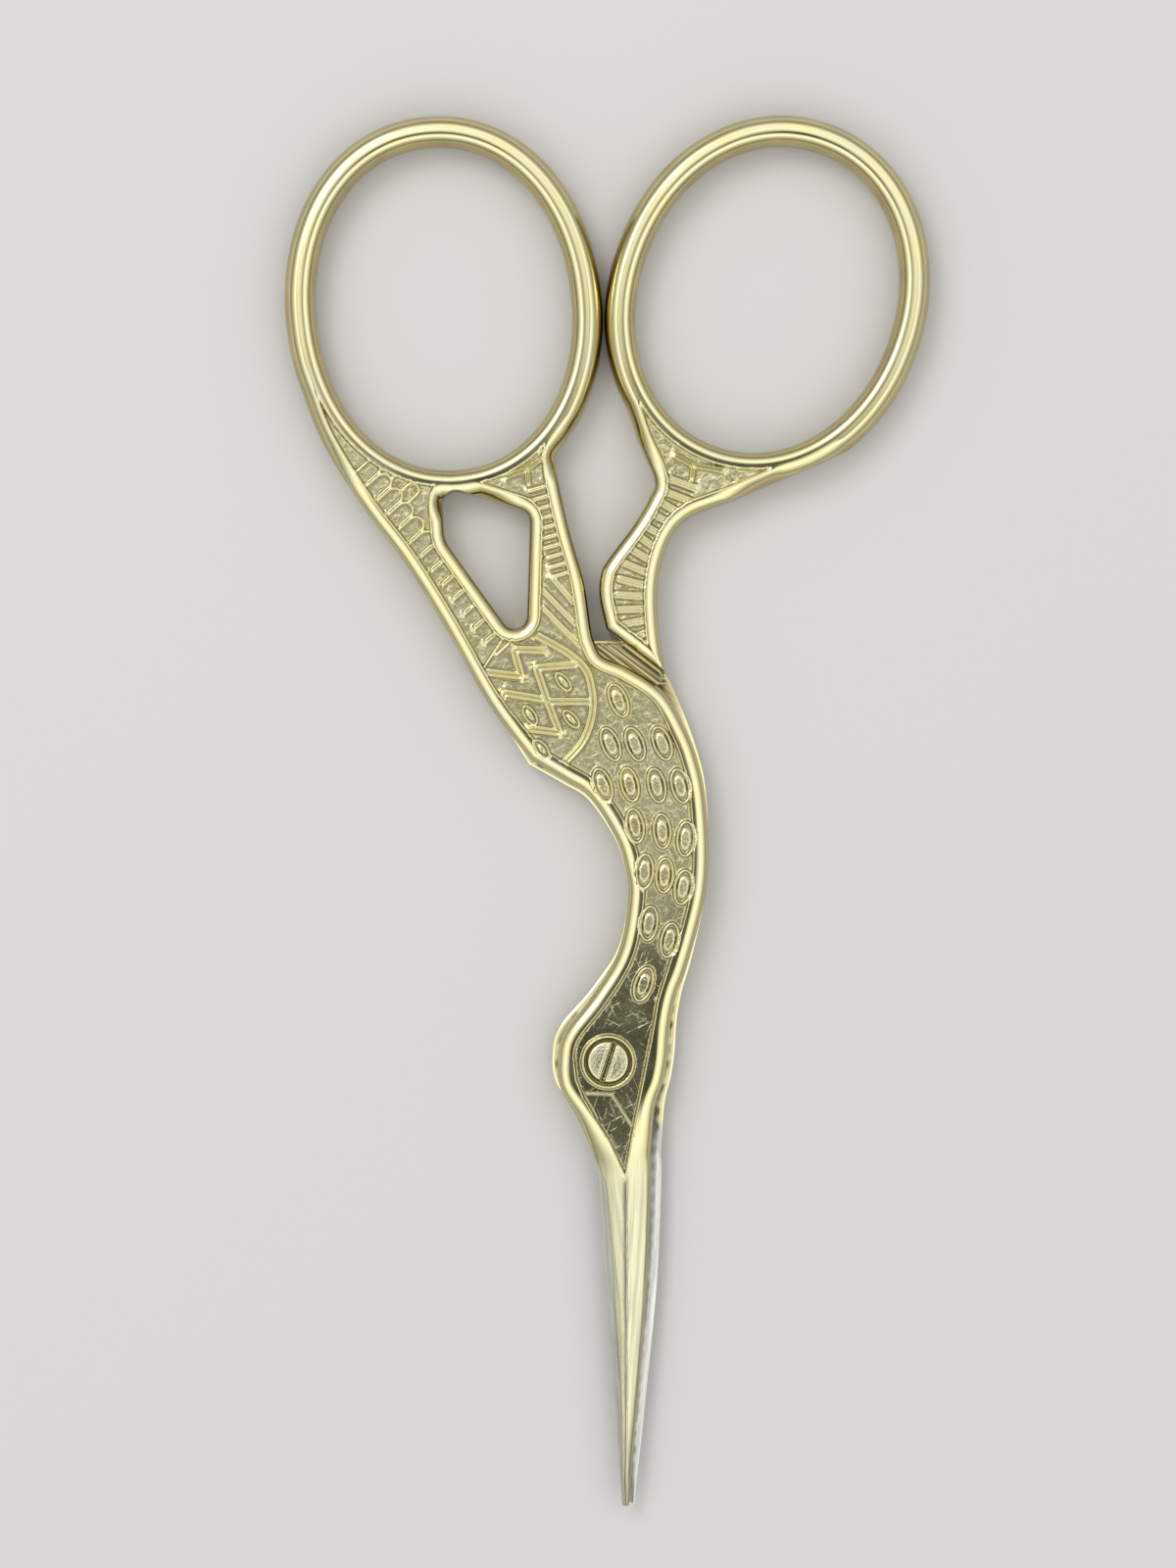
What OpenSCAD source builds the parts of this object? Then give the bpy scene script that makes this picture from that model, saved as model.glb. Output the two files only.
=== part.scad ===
// Stork embroidery scissors, lying closed on their back.
// The origin is on the pivot axis at the resting plane, +Y runs to the bows and +Z to the front.

/* [Blades] */
// Pivot to the points of the blades
blade_reach = 29.3; // [25:0.1:36]
// Pivot to the heel of a blade, where its ground edge starts
heel_reach = 6.1; // [5.5:0.1:7.5]
// Width of a blade at its heel
blade_width = 3.75; // [3:0.05:4.5]
// Width of a blade at its point
point_width = 0.45; // [0.3:0.05:0.8]
// Thickness of a blade at its point
point_thickness = 0.5; // [0.3:0.05:0.9]
// Width of the ground edge
ground_width = 0.55; // [0.3:0.05:0.8]
// Thickness left along the cutting edge
edge_land = 0.1; // [0.05:0.01:0.2]

/* [Plates] */
// Thickness of each half where the two cross
plate = 1.45; // [1.3:0.05:2]
// Running gap between the two halves
running_gap = 0.05; // [0.03:0.01:0.1]
// Width of the raised rims
rim_width = 0.85; // [0.6:0.05:1]
// Depth of the sunk fields inside the rims
field_depth = 0.3; // [0.1:0.05:0.5]
// Rounding of the outer edges
edge_round = 0.45; // [0.2:0.05:0.6]
// Room between the halves where one steps over the other
step_room = 0.3; // [0.2:0.05:0.5]
// How far the lower half shows past the upper half
peek = 0.35; // [0.1:0.05:0.5]

/* [Head and neck] */
// Pivot to the left side of the head
head_left = 3.3; // [2.9:0.05:4]
// Pivot to the right side of the head
head_right = 3.9; // [3.4:0.05:4.5]
// Width of the neck at its narrowest place
neck_width = 5.2; // [4.2:0.05:6]
// Sideways place of the neck from the pivot
neck_shift = 3.95; // [3.4:0.05:4.5]
// Pivot to the narrowest place of the neck
neck_reach = 10.8; // [9.5:0.1:12]

/* [Body] */
// Pivot line to the wing tip, sideways
wing_side = 5.1; // [4.4:0.1:6]
// Pivot to the wing tip, lengthways
wing_reach = 19.85; // [18.5:0.1:21]
// Pivot line to the breast, sideways
breast_side = 6.6; // [6.2:0.1:7.5]
// Pivot to the top edge of the body
body_reach = 27.7; // [26.5:0.1:29]

/* [Tail and legs] */
// Width of the tail band
tail_width = 3; // [2.6:0.05:3.4]
// Width of the left leg at its ankle
leg_width = 2.3; // [2:0.05:2.7]
// Width of the right leg below its knee
shin_width = 3.75; // [3:0.05:4.4]

/* [Bows] */
// Width of a finger hole
hole_width = 17; // [15:0.1:19]
// Height of the left finger hole
left_hole_height = 21.3; // [19:0.1:23]
// Height of the right finger hole
right_hole_height = 20.4; // [19:0.1:23]
// Width of the bow round the hole
bow_wire = 2.05; // [1.6:0.05:2.5]
// Pivot to the tops of both bows
bow_top = 62.4; // [60:0.1:67]
// Outward lean of the left bow
left_lean = 4; // [0:1:16]
// Outward lean of the right bow
right_lean = 22; // [0:1:24]
// Gap between the closed bows
bow_gap = 0.1; // [0.05:0.05:0.4]

/* [Pivot screw] */
// Diameter of the screw head
screw_head = 2.75; // [2.4:0.05:3.1]
// Height of the screw head
screw_head_height = 0.6; // [0.4:0.05:0.8]
// Diameter of the shank that the upper half turns on
shank = 1.8; // [1.4:0.05:2]
// Diameter of the thread in the lower half
thread = 1.6; // [1.2:0.05:1.8]
// Width of the driving slot
slot_width = 0.45; // [0.3:0.05:0.6]
// Depth of the driving slot
slot_depth = 0.3; // [0.2:0.05:0.4]
// Turn of the driving slot from level
slot_turn = 72; // [0:1:179]
// Radial play of the shank in the upper half
pivot_play = 0.03; // [0.02:0.01:0.06]
// Radial play of the head in its seat
head_play = 0.14; // [0.05:0.01:0.2]
// Width of the raised eye ring
eye_width = 0.28; // [0.2:0.02:0.4]

/* [Hidden] */
$fn = 64;
gold = "#d8cf9a";
thickness = 2 * plate + running_gap;
front_seat = plate + running_gap;
// Sideways place of the gap between the bows, and of the point of the upper blade
bow_middle = -0.3;
point_x = 1.15;
// How far cutting shapes run past the surface they cut, and a length beyond the whole outline
past = 1;
beyond = 80;

// Point that lies the shares f of the way from a to b, across and along
function part_way(a, b, f) = [a.x + f.x * (b.x - a.x), a.y + f.y * (b.y - a.y)];
// Points of an edge after a and up to b, each bend given as shares of the way
function edge(a, b, bends = []) = [for (f = bends) part_way(a, b, f), b];
// Place t of the way along the stretch from b to c of a curve through a, b, c and d
function on_curve(a, b, c, d, t) =
    0.5 * (2 * b + (c - a) * t + (2 * a - 5 * b + 4 * c - d) * t * t + (3 * b - a - 3 * c + d) * t * t * t);
// Smooth curve through points, both ends kept
function smooth(p, steps = 3) = let (last = len(p) - 1) [
    for (i = [0:last - 1])
        let (a = i > 0 ? p[i - 1] : 2 * p[0] - p[1])
        let (d = i < last - 1 ? p[i + 2] : 2 * p[last] - p[last - 1])
        for (j = [0:steps - 1]) on_curve(a, p[i], p[i + 1], d, j / steps),
    p[last]
];
function backwards(p) = [for (i = [len(p) - 1:-1:0]) p[i]];
function part_of(p, first, last) = [for (i = [first:last]) p[i]];
// Point p turned by angle a about the origin
function turned(p, a) = [p.x * cos(a) - p.y * sin(a), p.x * sin(a) + p.y * cos(a)];

// Bows: ovals that lean outwards. side is -1 for the left bow and 1 for the right one.
function hole_height(side) = side < 0 ? left_hole_height : right_hole_height;
function lean(side) = side < 0 ? left_lean : right_lean;
// A bow is an oval of four quarter arcs. Quarter 0 is its right side, 1 its top, 2 its left side and
// 3 its bottom. The sides have the larger radius, and centre_out sets each arc's centre off the middle.
function centre_out(side) = (hole_height(side) - hole_width) / 2 * (1 + sqrt(0.5));
function quarter_centre(side, k) = -centre_out(side) * [cos(90 * k), -sin(90 * k)];
function quarter_radius(side, k) =
    k % 2 == 0 ? hole_width / 2 + centre_out(side) : hole_height(side) / 2 - centre_out(side);
function quarter_of(a) = floor((a + 45) / 90) % 4;
// Point of the oval that runs grow outside the finger hole, where it faces angle a of the bow
function bow_point(side, a, grow) =
    quarter_centre(side, quarter_of(a)) + (quarter_radius(side, quarter_of(a)) + grow) * [cos(a), sin(a)];
// How far a leaning bow reaches from its middle in direction a of the scissors
function bow_extent(side, a) =
    let (b = a + side * lean(side)) bow_point(side, b, bow_wire) * [cos(b), sin(b)];
function bow_centre(side) = [
    bow_middle + side * (bow_extent(side, side < 0 ? 0 : 180) + bow_gap / 2), bow_top - bow_extent(side, 90)];
function bow_bottom(side) = bow_centre(side).y - bow_extent(side, 270);
function on_bow(side, a, grow) = bow_centre(side) + turned(bow_point(side, a, grow), -side * lean(side));
function oval(side, grow) = [for (a = [3:6:357]) on_bow(side, a, grow)];

// Named places on the outline. lower is 0 for the upper half and 1 for the lower half.
function wing_tip(lower) = [-wing_side, wing_reach] + lower * peek * [-0.3, -0.8];
function neck_l(lower) = [neck_shift - neck_width / 2, neck_reach];
function breast(lower) = [breast_side, neck_reach + 3.4];
function head_l(lower) = [-head_left, 0.2] + lower * peek * [-1, 1];
function head_r(lower) = [head_right, 0.2] + lower * peek * [1.4, 1];
function heel_l(lower) = [-0.97 + 2 * lower * peek, -heel_reach];
function heel_r(lower) = heel_l(lower) + [blade_width, 0];
function point_l(lower) = [point_x - point_width / 2 + lower * peek, -blade_reach];
function point_r(lower) = point_l(lower) + [point_width, 0];

// The two sides of the beak, from the head to the point, with like numbers of points
function beak_l(lower) = concat(
    smooth(concat([head_l(lower)], edge(head_l(lower), heel_l(lower), [[0.07, 0.3], [0.57, 0.63]]))),
    edge(heel_l(lower), point_l(lower), [[0.14, 0.06], [0.42, 0.34], [0.67, 0.62], [0.91, 0.88]]));
function beak_r(lower) = concat(
    smooth(concat([head_r(lower)], edge(head_r(lower), heel_r(lower), [[0.27, 0.25], [0.73, 0.51]]))),
    edge(heel_r(lower), point_r(lower), [[-0.03, 0.06], [0.12, 0.34], [0.46, 0.62], [0.83, 0.88]]));
// Points of those sides where the head's flat top gives way to the beak's slopes, and at the heel
beak_start = 4;
beak_heel = 9;

// Left side from the wing tip down to the head
function neck_left(lower) = smooth(concat(
    [wing_tip(lower)],
    edge(wing_tip(lower), neck_l(lower), [[0.33, 0.14], [0.6, 0.27], [0.87, 0.57], [0.97, 0.8]]),
    edge(neck_l(lower), head_l(lower), [[0.14, 0.33], [0.5, 0.6], [0.9, 0.83]])));
// Right side from the head up to the breast
function neck_right(lower) = concat(
    [head_r(lower)],
    edge(head_r(lower), breast(lower),
         [[0.07, 0.16], [0.22, 0.3], [0.45, 0.42], [0.78, 0.64], [0.96, 0.81]]));

// Upper half: its tail edge, breast and left leg
body_corner = [-0.35, body_reach - 1.05];
knee = [-1.6, body_reach + 3.9];
ankle = [-3.4, bow_bottom(-1) + 2.3];
tail_top = on_bow(-1, 204, bow_wire);
leg_top = on_bow(-1, 319, bow_wire);
tail_edge = smooth(concat(
    [tail_top],
    edge(tail_top, wing_tip(0),
         [[0.06, 0.1], [0.25, 0.29], [0.43, 0.44], [0.61, 0.62], [0.79, 0.82], [0.9, 0.92]])));
upper_right = smooth(concat(
    neck_right(0),
    edge(breast(0), body_corner, [[0.03, 0.26], [0.09, 0.43], [0.2, 0.6], [0.42, 0.81], [0.76, 0.94]]),
    edge(body_corner, knee, [[0.44, 0.19], [0.62, 0.37]]),
    edge(knee, ankle, [[0.5, 0.42], [0.9, 0.83]]),
    edge(ankle, leg_top, [[0.3, 0.5]])));

// Lower half: its breast and right leg
shoulder_r = [3.77, body_reach - 2.2];
shoulder_l = [-0.1, body_reach + 0.75];
shin_l = [-0.5, body_reach + 4.2];
shin_r = shin_l + [shin_width, -0.8];
hock = [3.05, bow_bottom(1)];
foot_r = on_bow(1, 300, bow_wire);
foot_l = on_bow(1, 228, bow_wire);
lower_right = smooth(concat(
    neck_right(1),
    edge(breast(1), shoulder_r, [[0.04, 0.28], [0.16, 0.47], [0.5, 0.73], [0.88, 0.95]]),
    edge(shoulder_r, shin_r, [[0.8, 0.5]]),
    edge(shin_r, foot_r, [[0.05, 0.29], [0.15, 0.52], [0.3, 0.66], [0.52, 0.75], [0.76, 0.84]])));
leg_left = smooth(concat(
    [foot_l],
    edge(foot_l, hock, [[0.45, 0.5]]),
    edge(hock, shin_l, [[0.1, 0.2], [0.4, 0.48], [0.88, 0.84]]),
    edge(shin_l, shoulder_l, [[-0.12, 0.4]])));

upper_outline = concat(
    tail_edge, part_of(neck_left(0), 1, len(neck_left(0)) - 1), part_of(beak_l(0), 1, len(beak_l(0)) - 1),
    backwards(part_of(beak_r(0), 1, len(beak_r(0)) - 1)), upper_right, [bow_centre(-1)]);
lower_outline = concat(
    tail_edge, neck_left(1), part_of(beak_l(1), 1, len(beak_l(1)) - 1),
    backwards(part_of(beak_r(1), 1, len(beak_r(1)) - 1)), lower_right, [bow_centre(1)], leg_left);

// Rounded triangle between the tail and the left leg: its right side, the slope of its left side, how
// far its foot leans in, its top's width, how far its top corners lie below the ankle, and its corners
triangle_side = ankle.x - leg_width + 0.55;
tail_slope = 0.71;
foot_lean = 0.25;
top_width = 6.1;
left_drop = 1;
right_drop = 3.2;
blunt_reach = body_reach + 6.6;
small_round = 0.9;
large_round = 1.8;
tail_middle = part_way(tail_top, wing_tip(0), [0.43, 0.44]);
function beside_tail(y) =
    [tail_middle.x + tail_width * sqrt(1 + tail_slope * tail_slope) - tail_slope * (y - tail_middle.y), y];
foot_x = triangle_side - foot_lean;
triangle = [
    [[foot_x, tail_middle.y + (beside_tail(tail_middle.y).x - foot_x) / tail_slope], small_round],
    [[triangle_side, ankle.y - right_drop], small_round],
    [[triangle_side - top_width, ankle.y - left_drop], small_round],
    [beside_tail(blunt_reach), large_round]
];
// Arc that rounds corner b of the path a, b, c
function rounded(a, b, c, r) =
    let (u = (a - b) / norm(a - b), v = (c - b) / norm(c - b))
    let (half = acos(u * v) / 2, middle = b + (u + v) / norm(u + v) * r / sin(half))
    let (from = atan2(b.y - middle.y, b.x - middle.x), sweep = 90 - half)
    let (turn = u.x * v.y - u.y * v.x > 0 ? 1 : -1)
    [for (k = [-1:0.5:1]) middle + r * [cos(from - turn * k * sweep), sin(from - turn * k * sweep)]];
triangle_outline = let (n = len(triangle)) [
    for (i = [0:n - 1])
        let (before = triangle[(i + n - 1) % n], after = triangle[(i + 1) % n])
        for (p = rounded(before[0], triangle[i][0], after[0], triangle[i][1])) p
];

// Where the head's sunk field may lie: it narrows to a point where the two rims meet in the ridge
kite_foot = heel_reach + 1.4;
kite_right = [head_right - 1.65, -2.2];
kite_left = [1 - head_left, -1.6];
head_field = [[point_x, -kite_foot], kite_right, [beyond, wing_reach], [beyond, beyond],
              [-beyond, beyond], [-beyond, wing_reach], kite_left];

// Eye: the seat of the screw head, its ring, and the head's place in it
eye_seat = screw_head / 2 + head_play;
eye_outer = eye_seat + eye_width;
thread_play = 0.01;
head_inset = 0.02;
head_room = 0.03;
head_base = thickness - head_inset - screw_head_height;

// Heights of the beak's sides below its flat top, as shares of the top's height
edge_drop = 0.6;
spine_drop = 0.4;
// How far the cut starts above the flat head, and runs past the beak's sides as a share of its width
cut_lift = 0.02;
side_share = 0.3;
// Half width of the flat top as a share of the width, at the ridge and what the head has more, and the
// most that the ground edge may take
ridge_share = 0.05;
flat_share = 0.43;
ground_share = 0.3;
// The cut's side slope where there is no ground edge yet, as shares of the width and of the height
side_slope = 0.03;

// Everything on the blade side of the pivot
module below_pivot() {
    translate([-beyond, -beyond]) square([2 * beyond, beyond]);
}
// Plan of the upper half where it lies in front
module upper_plan() {
    difference() {
        polygon(upper_outline);
        polygon(oval(-1, bow_wire / 2));
        polygon(triangle_outline);
    }
}
// Plan of the upper half where it has its full thickness: the tail and the leg
module upper_back_plan() {
    difference() {
        upper_plan();
        circle(body_reach + step_room);
        below_pivot();
    }
}
// Plan of the lower half where it has its full thickness: the right leg
module lower_front_plan() {
    difference() {
        polygon(concat(leg_left, [for (p = lower_right) if (p.y >= shoulder_r.y) p], [bow_centre(1)]));
        polygon(oval(1, bow_wire / 2));
    }
}
// Plan of the lower half where it lies behind
module lower_plan() {
    intersection() {
        polygon(lower_outline);
        union() {
            circle(body_reach);
            below_pivot();
        }
    }
    lower_front_plan();
}
// Slab of the given height whose upper edge is rounded in steps, on the plan given as its child
module rounded_slab(height) {
    linear_extrude(height - edge_round) children();
    for (k = [0:2])
        translate([0, 0, height - edge_round * (1 - sin(30 * k))])
            linear_extrude(edge_round * (sin(30 * k + 30) - sin(30 * k)))
                offset(delta = -edge_round * (1 - cos(30 * k + 15))) children();
}
// What is cut off above the beak: it leaves a ridge along the middle, a slope to the spine and one to the
// cutting edge, and beyond the heel the ground edge. Its rows run from the head to past the point.
module beak_cut(lower) {
    cutting = lower == 0 ? beak_l(0) : beak_r(1);
    spine = lower == 0 ? beak_r(0) : beak_l(1);
    last = len(cutting) - 1;
    rows = [for (i = [beak_start:last + 1])
        let (k = min(i, last), a = cutting[k] - [0, (i - k) * past], b = spine[k] - [0, (i - k) * past])
        let (width = norm(b - a), slope = min(1, (k - beak_start) / (beak_heel + 1 - beak_start)))
        let (along = max(0, (-a.y - heel_reach) / (blade_reach - heel_reach)))
        let (top = plate + cut_lift + (point_thickness - plate) * along)
        let (half_flat = flat_share * (1 - slope) + ridge_share)
        let (ground = k < beak_heel ? side_slope : min(ground_width, ground_share * width) / width)
        let (low = top * (1 - edge_drop * slope))
        let (land = k < beak_heel ? low * (1 - side_slope * slope) : edge_land)
        let (high = top * (1 - spine_drop * slope), fall = (top - high) / (0.5 - half_flat))
        let (shape = [
            [-side_share, land - (low - land) / ground * side_share], [0, land], [ground, low],
            [0.5 - half_flat, top], [0.5 + half_flat, top], [1 + side_share, high - fall * side_share],
            [1 + side_share, plate + past], [-side_share, plate + past]])
        [for (p = shape) [a.x + (b.x - a.x) * p.x, a.y + (b.y - a.y) * p.x, p.y]]];
    m = 8;
    end = (len(rows) - 1) * m;
    sides = [for (i = [0:len(rows) - 2]) for (j = [0:m - 1]) let (k = (j + 1) % m)
        for (f = [[i * m + j, i * m + m + k, i * m + k], [i * m + j, i * m + m + j, i * m + m + k]]) f];
    caps = [for (j = [0:m - 3]) for (f = [[m - 1, j, j + 1], [end + m - 1, end + j + 1, end + j]]) f];
    faces = concat(sides, caps);
    polyhedron([for (row = rows) for (p = row) p], lower == 0 ? faces : [for (f = faces) backwards(f)]);
}
// Bow: an oval wire whose section is a twelve-sided ellipse
module bow(side) {
    section = [for (a = [15:30:345])
        [bow_wire / 2 * (1 + cos(a) / cos(15)), thickness / 2 * (1 + sin(a) / cos(15))]];
    translate(bow_centre(side)) rotate(-side * lean(side))
        for (k = [0:3])
            translate(quarter_centre(side, k)) rotate(90 * k - 45)
                rotate_extrude(angle = 90) translate([quarter_radius(side, k), 0]) polygon(section);
}
module upper_field() {
    difference() {
        intersection() {
            offset(delta = -rim_width) upper_plan();
            polygon(head_field);
        }
        polygon(oval(-1, bow_wire));
        circle(eye_outer);
    }
}
module lower_field() {
    difference() {
        intersection() {
            offset(delta = -rim_width) lower_plan();
            polygon(head_field);
        }
        polygon(oval(1, bow_wire));
        circle(eye_outer);
    }
}

module upper_half() {
    color(gold) difference() {
        union() {
            translate([0, 0, front_seat]) {
                difference() {
                    rounded_slab(plate) upper_plan();
                    beak_cut(0);
                }
                mirror([0, 0, 1]) rounded_slab(front_seat) upper_back_plan();
            }
            bow(-1);
        }
        translate([0, 0, thickness - field_depth]) linear_extrude(past) upper_field();
        translate([0, 0, -past]) linear_extrude(past + field_depth) difference() {
            offset(delta = -rim_width) upper_back_plan();
            polygon(oval(-1, bow_wire));
        }
        cylinder(h = thickness + past, r = shank / 2 + pivot_play);
        translate([0, 0, head_base - head_room]) cylinder(h = thickness, r = eye_seat);
    }
}
module lower_half() {
    color(gold) difference() {
        union() {
            translate([0, 0, plate]) mirror([0, 0, 1]) difference() {
                rounded_slab(plate) lower_plan();
                beak_cut(1);
            }
            translate([0, 0, plate]) rounded_slab(front_seat) lower_front_plan();
            bow(1);
        }
        translate([0, 0, -past]) linear_extrude(past + field_depth) lower_field();
        translate([0, 0, thickness - field_depth]) linear_extrude(past) difference() {
            offset(delta = -rim_width) lower_front_plan();
            polygon(oval(1, bow_wire));
        }
        translate([0, 0, -past]) cylinder(h = plate + 2 * past, r = thread / 2 + thread_play);
    }
}
module pivot_screw() {
    color("gold") difference() {
        union() {
            cylinder(h = plate, r = thread / 2);
            translate([0, 0, plate]) cylinder(h = head_base - plate, r = shank / 2);
            translate([0, 0, head_base]) cylinder(h = screw_head_height, r = screw_head / 2);
        }
        translate([0, 0, thickness - head_inset]) rotate(slot_turn)
            cube([2 * screw_head, slot_width, 2 * slot_depth], center = true);
    }
}

upper_half();
lower_half();
pivot_screw();
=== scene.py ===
import math

import bpy
import numpy as np
from mathutils.geometry import delaunay_2d_cdt
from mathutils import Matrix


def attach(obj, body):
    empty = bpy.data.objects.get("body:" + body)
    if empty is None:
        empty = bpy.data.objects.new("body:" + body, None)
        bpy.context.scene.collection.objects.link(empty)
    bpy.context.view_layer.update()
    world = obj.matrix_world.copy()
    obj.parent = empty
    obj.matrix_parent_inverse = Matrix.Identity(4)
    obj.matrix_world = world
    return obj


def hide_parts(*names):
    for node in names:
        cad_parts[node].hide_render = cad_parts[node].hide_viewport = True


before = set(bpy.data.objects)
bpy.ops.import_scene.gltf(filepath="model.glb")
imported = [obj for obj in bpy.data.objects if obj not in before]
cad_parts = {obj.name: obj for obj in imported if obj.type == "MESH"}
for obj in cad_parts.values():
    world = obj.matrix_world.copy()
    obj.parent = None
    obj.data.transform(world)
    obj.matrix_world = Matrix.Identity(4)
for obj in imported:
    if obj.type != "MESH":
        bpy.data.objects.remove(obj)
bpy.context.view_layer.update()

# Stork embroidery scissors. Lengths are in millimetres in the CAD frame: origin on the pivot at the
# resting plane, +Y to the bows, +Z to the front. mm turns them into metres for the meshes.
mm = 0.001

body = {
    "thickness": 2.95,
    "plate": 1.45,          # each half where the two cross
    "frontSeat": 1.5,       # inner face of the upper half
    "rimWidth": 0.85,       # of the tail and legs
    "bodyRim": 0.98,        # of the body, neck and head
    "rimsMeet": (21, 25),   # where one width turns into the other
    "rimRound": 0.82,       # width and drop of the rims' rounding
    "rimDrop": 0.6,
    "fieldDepth": 0.3,
    "fieldWall": 0.13,      # width of the wall from a rim down to the field
    "wireFlat": 2.2,        # power of the bow's section, 2 for an ellipse
    "wireCrest": 0.2,       # how far its highest line lies from the middle, towards the finger
    "wireReach": 1.5,       # how far past the wire its rounding turns into the rims'
    "wireJoin": 0.3,        # how far past its middle it runs into the rims, and the rounding there
    "wireBlend": 0.08,
    "webRim": 0.12,         # how far the bow's smooth crest reaches past the middle of its wire
    "leastWall": 0.03,      # of an outline between its two faces
    "plateEdge": 0.13,      # width of the bevel round the inner faces
    "edgeSlope": 0.32,
    "stepOuter": 28.0,      # the upper half is full thickness beyond this distance from the pivot
    "stepInner": 27.7,      # and the lower half's plate ends here
    "stepWall": 0.03,       # width of the step's wall
    "stepSpan": (80, 125),  # directions from the pivot between which it crosses the tail
    "shoulderLine": 0.04,   # depth of the fine grooves beside the leg's shoulder, and their spacing
    "shoulderStep": 0.42,
    "shoulderReach": 1.6,   # how far from the shoulder they lie, and over what length they come in
    "shoulderFade": 0.4,
    "shoulderEnds": (0.1, 0.4),     # distances from the outline between which they end
}


# Smooth line through points: between two neighbours it is the cubic whose slope at each point is half
# the step between the points on either side.
def smoothLine(points, steps=12):
    p = np.array(points, float)
    around = np.vstack([2 * p[0] - p[1], p, 2 * p[-1] - p[-2]])
    a, b, c, d = around[:-3], around[1:-2], around[2:-1], around[3:]
    t = np.linspace(0, 1, steps, endpoint=False)[:, None, None]
    bend, twist = 2 * a - 5 * b + 4 * c - d, 3 * b - a - 3 * c + d
    line = 0.5 * (2 * b + (c - a) * t + bend * t ** 2 + twist * t ** 3)
    return np.vstack([line.transpose(1, 0, 2).reshape(-1, 2), p[-1:]])


# Points at equal steps along a line, both ends kept.
def evenSteps(line, step):
    along = np.concatenate([[0], np.cumsum(np.hypot(*np.diff(line, axis=0).T))])
    at = np.linspace(0, along[-1], max(2, int(round(along[-1] / step)) + 1))
    return np.column_stack([np.interp(at, along, line[:, 0]), np.interp(at, along, line[:, 1])])


# Straight runs between corners, with points at equal steps.
def straightLine(points, step=0.12):
    p = np.array(points, float)
    runs = [evenSteps(p[i:i + 2], step)[:-1] for i in range(len(p) - 1)]
    return np.vstack(runs + [p[-1:]])


# 0 below low, 1 above high, and between them 3t^2 - 2t^3.
def ease(value, low, high):
    t = np.clip((value - low) / (high - low), 0, 1)
    return t * t * (3 - 2 * t)


# From a to b in proportion to a share of 0 to 1.
def mix(a, b, share):
    return a + (b - a) * share


# The lesser of two depths, rounded where they meet within reach r.
def softLess(a, b, r):
    h = np.clip(0.5 + 0.5 * (b - a) / r, 0, 1)
    return b + (a - b) * h - r * h * (1 - h)


# Distance from each place to the nearest of some stretches: the foot of the perpendicular, held
# between the stretch's ends. Places are taken a tile at a time, each with the stretches that may be
# nearest to any of it: those no farther from its middle than the nearest one and its width together.
def distanceTo(places, stretches, tile=1.2):
    a, d = stretches[0], stretches[1] - stretches[0]
    square = np.maximum((d * d).sum(1), 1e-12)
    out = np.empty(len(places))
    cell = np.floor(places / tile).astype(np.int64)
    order = np.lexsort((cell[:, 0], cell[:, 1]))
    cuts = np.flatnonzero(np.any(np.diff(cell[order], axis=0) != 0, axis=1)) + 1
    for part in np.split(order, cuts):
        middle = (cell[part[0]] + 0.5) * tile
        q = middle - a
        t = np.clip((q * d).sum(1) / square, 0, 1)
        away = np.hypot(*(q - t[:, None] * d).T)
        near = away <= away.min() + tile * math.sqrt(2) + 1e-6
        an, dn, sn = a[near], d[near], square[near]
        q = places[part][:, None, :] - an
        t = np.clip((q * dn).sum(2) / sn, 0, 1)
        out[part] = np.sqrt(((q - t[..., None] * dn) ** 2).sum(2).min(1))
    return out


# Starts and ends of every straight stretch of some lines, the last one back to the start where closed.
def stretchesOf(lines, closed=False):
    starts = [np.asarray(p, float) if closed else np.asarray(p, float)[:-1] for p in lines]
    ends = [np.roll(p, -1, 0) if closed else np.asarray(p, float)[1:] for p in lines]
    return np.vstack(starts), np.vstack(ends)


# Whether each place lies inside closed loops: an odd number of edges lies to its right. Places are taken
# in order of height, some hundreds together, with the edges that reach their heights.
def insideLoops(places, loops, together=800):
    a, b = stretchesOf(loops, closed=True)
    low, high = np.minimum(a[:, 1], b[:, 1]), np.maximum(a[:, 1], b[:, 1])
    out = np.empty(len(places), bool)
    order = np.argsort(places[:, 1])
    for part in np.array_split(order, len(order) // together + 1) if len(order) else []:
        x, y = places[part, :1], places[part, 1:]
        near = (high >= y[0]) & (low <= y[-1])
        an, bn = a[near], b[near]
        spans = (an[:, 1] > y) != (bn[:, 1] > y)
        rise = np.where(np.abs(bn[:, 1] - an[:, 1]) < 1e-12, 1e-12, bn[:, 1] - an[:, 1])
        out[part] = (spans & (x < an[:, 0] + (y - an[:, 1]) * (bn[:, 0] - an[:, 0]) / rise)).sum(1) % 2 == 1
    return out


# Points at equal angles round the pivot.
def circleLoop(radius, count):
    angle = np.linspace(0, 2 * math.pi, count, endpoint=False)
    return radius * np.column_stack([np.cos(angle), np.sin(angle)])


edgeStep = 0.16             # between the points of every outline
rimRows = [0.02, 0.06, 0.12, 0.19, 0.27, 0.36, 0.46, 0.56, 0.66, 0.76, 0.84, 0.89, 0.94, 0.98, 1.03, 1.08,
           1.13]            # distances of the rows of points inside it


# Points at equal steps round a closed loop.
def evenLoop(loop, step=edgeStep):
    return evenSteps(np.vstack([loop, loop[:1]]), step)[:-1]


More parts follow.
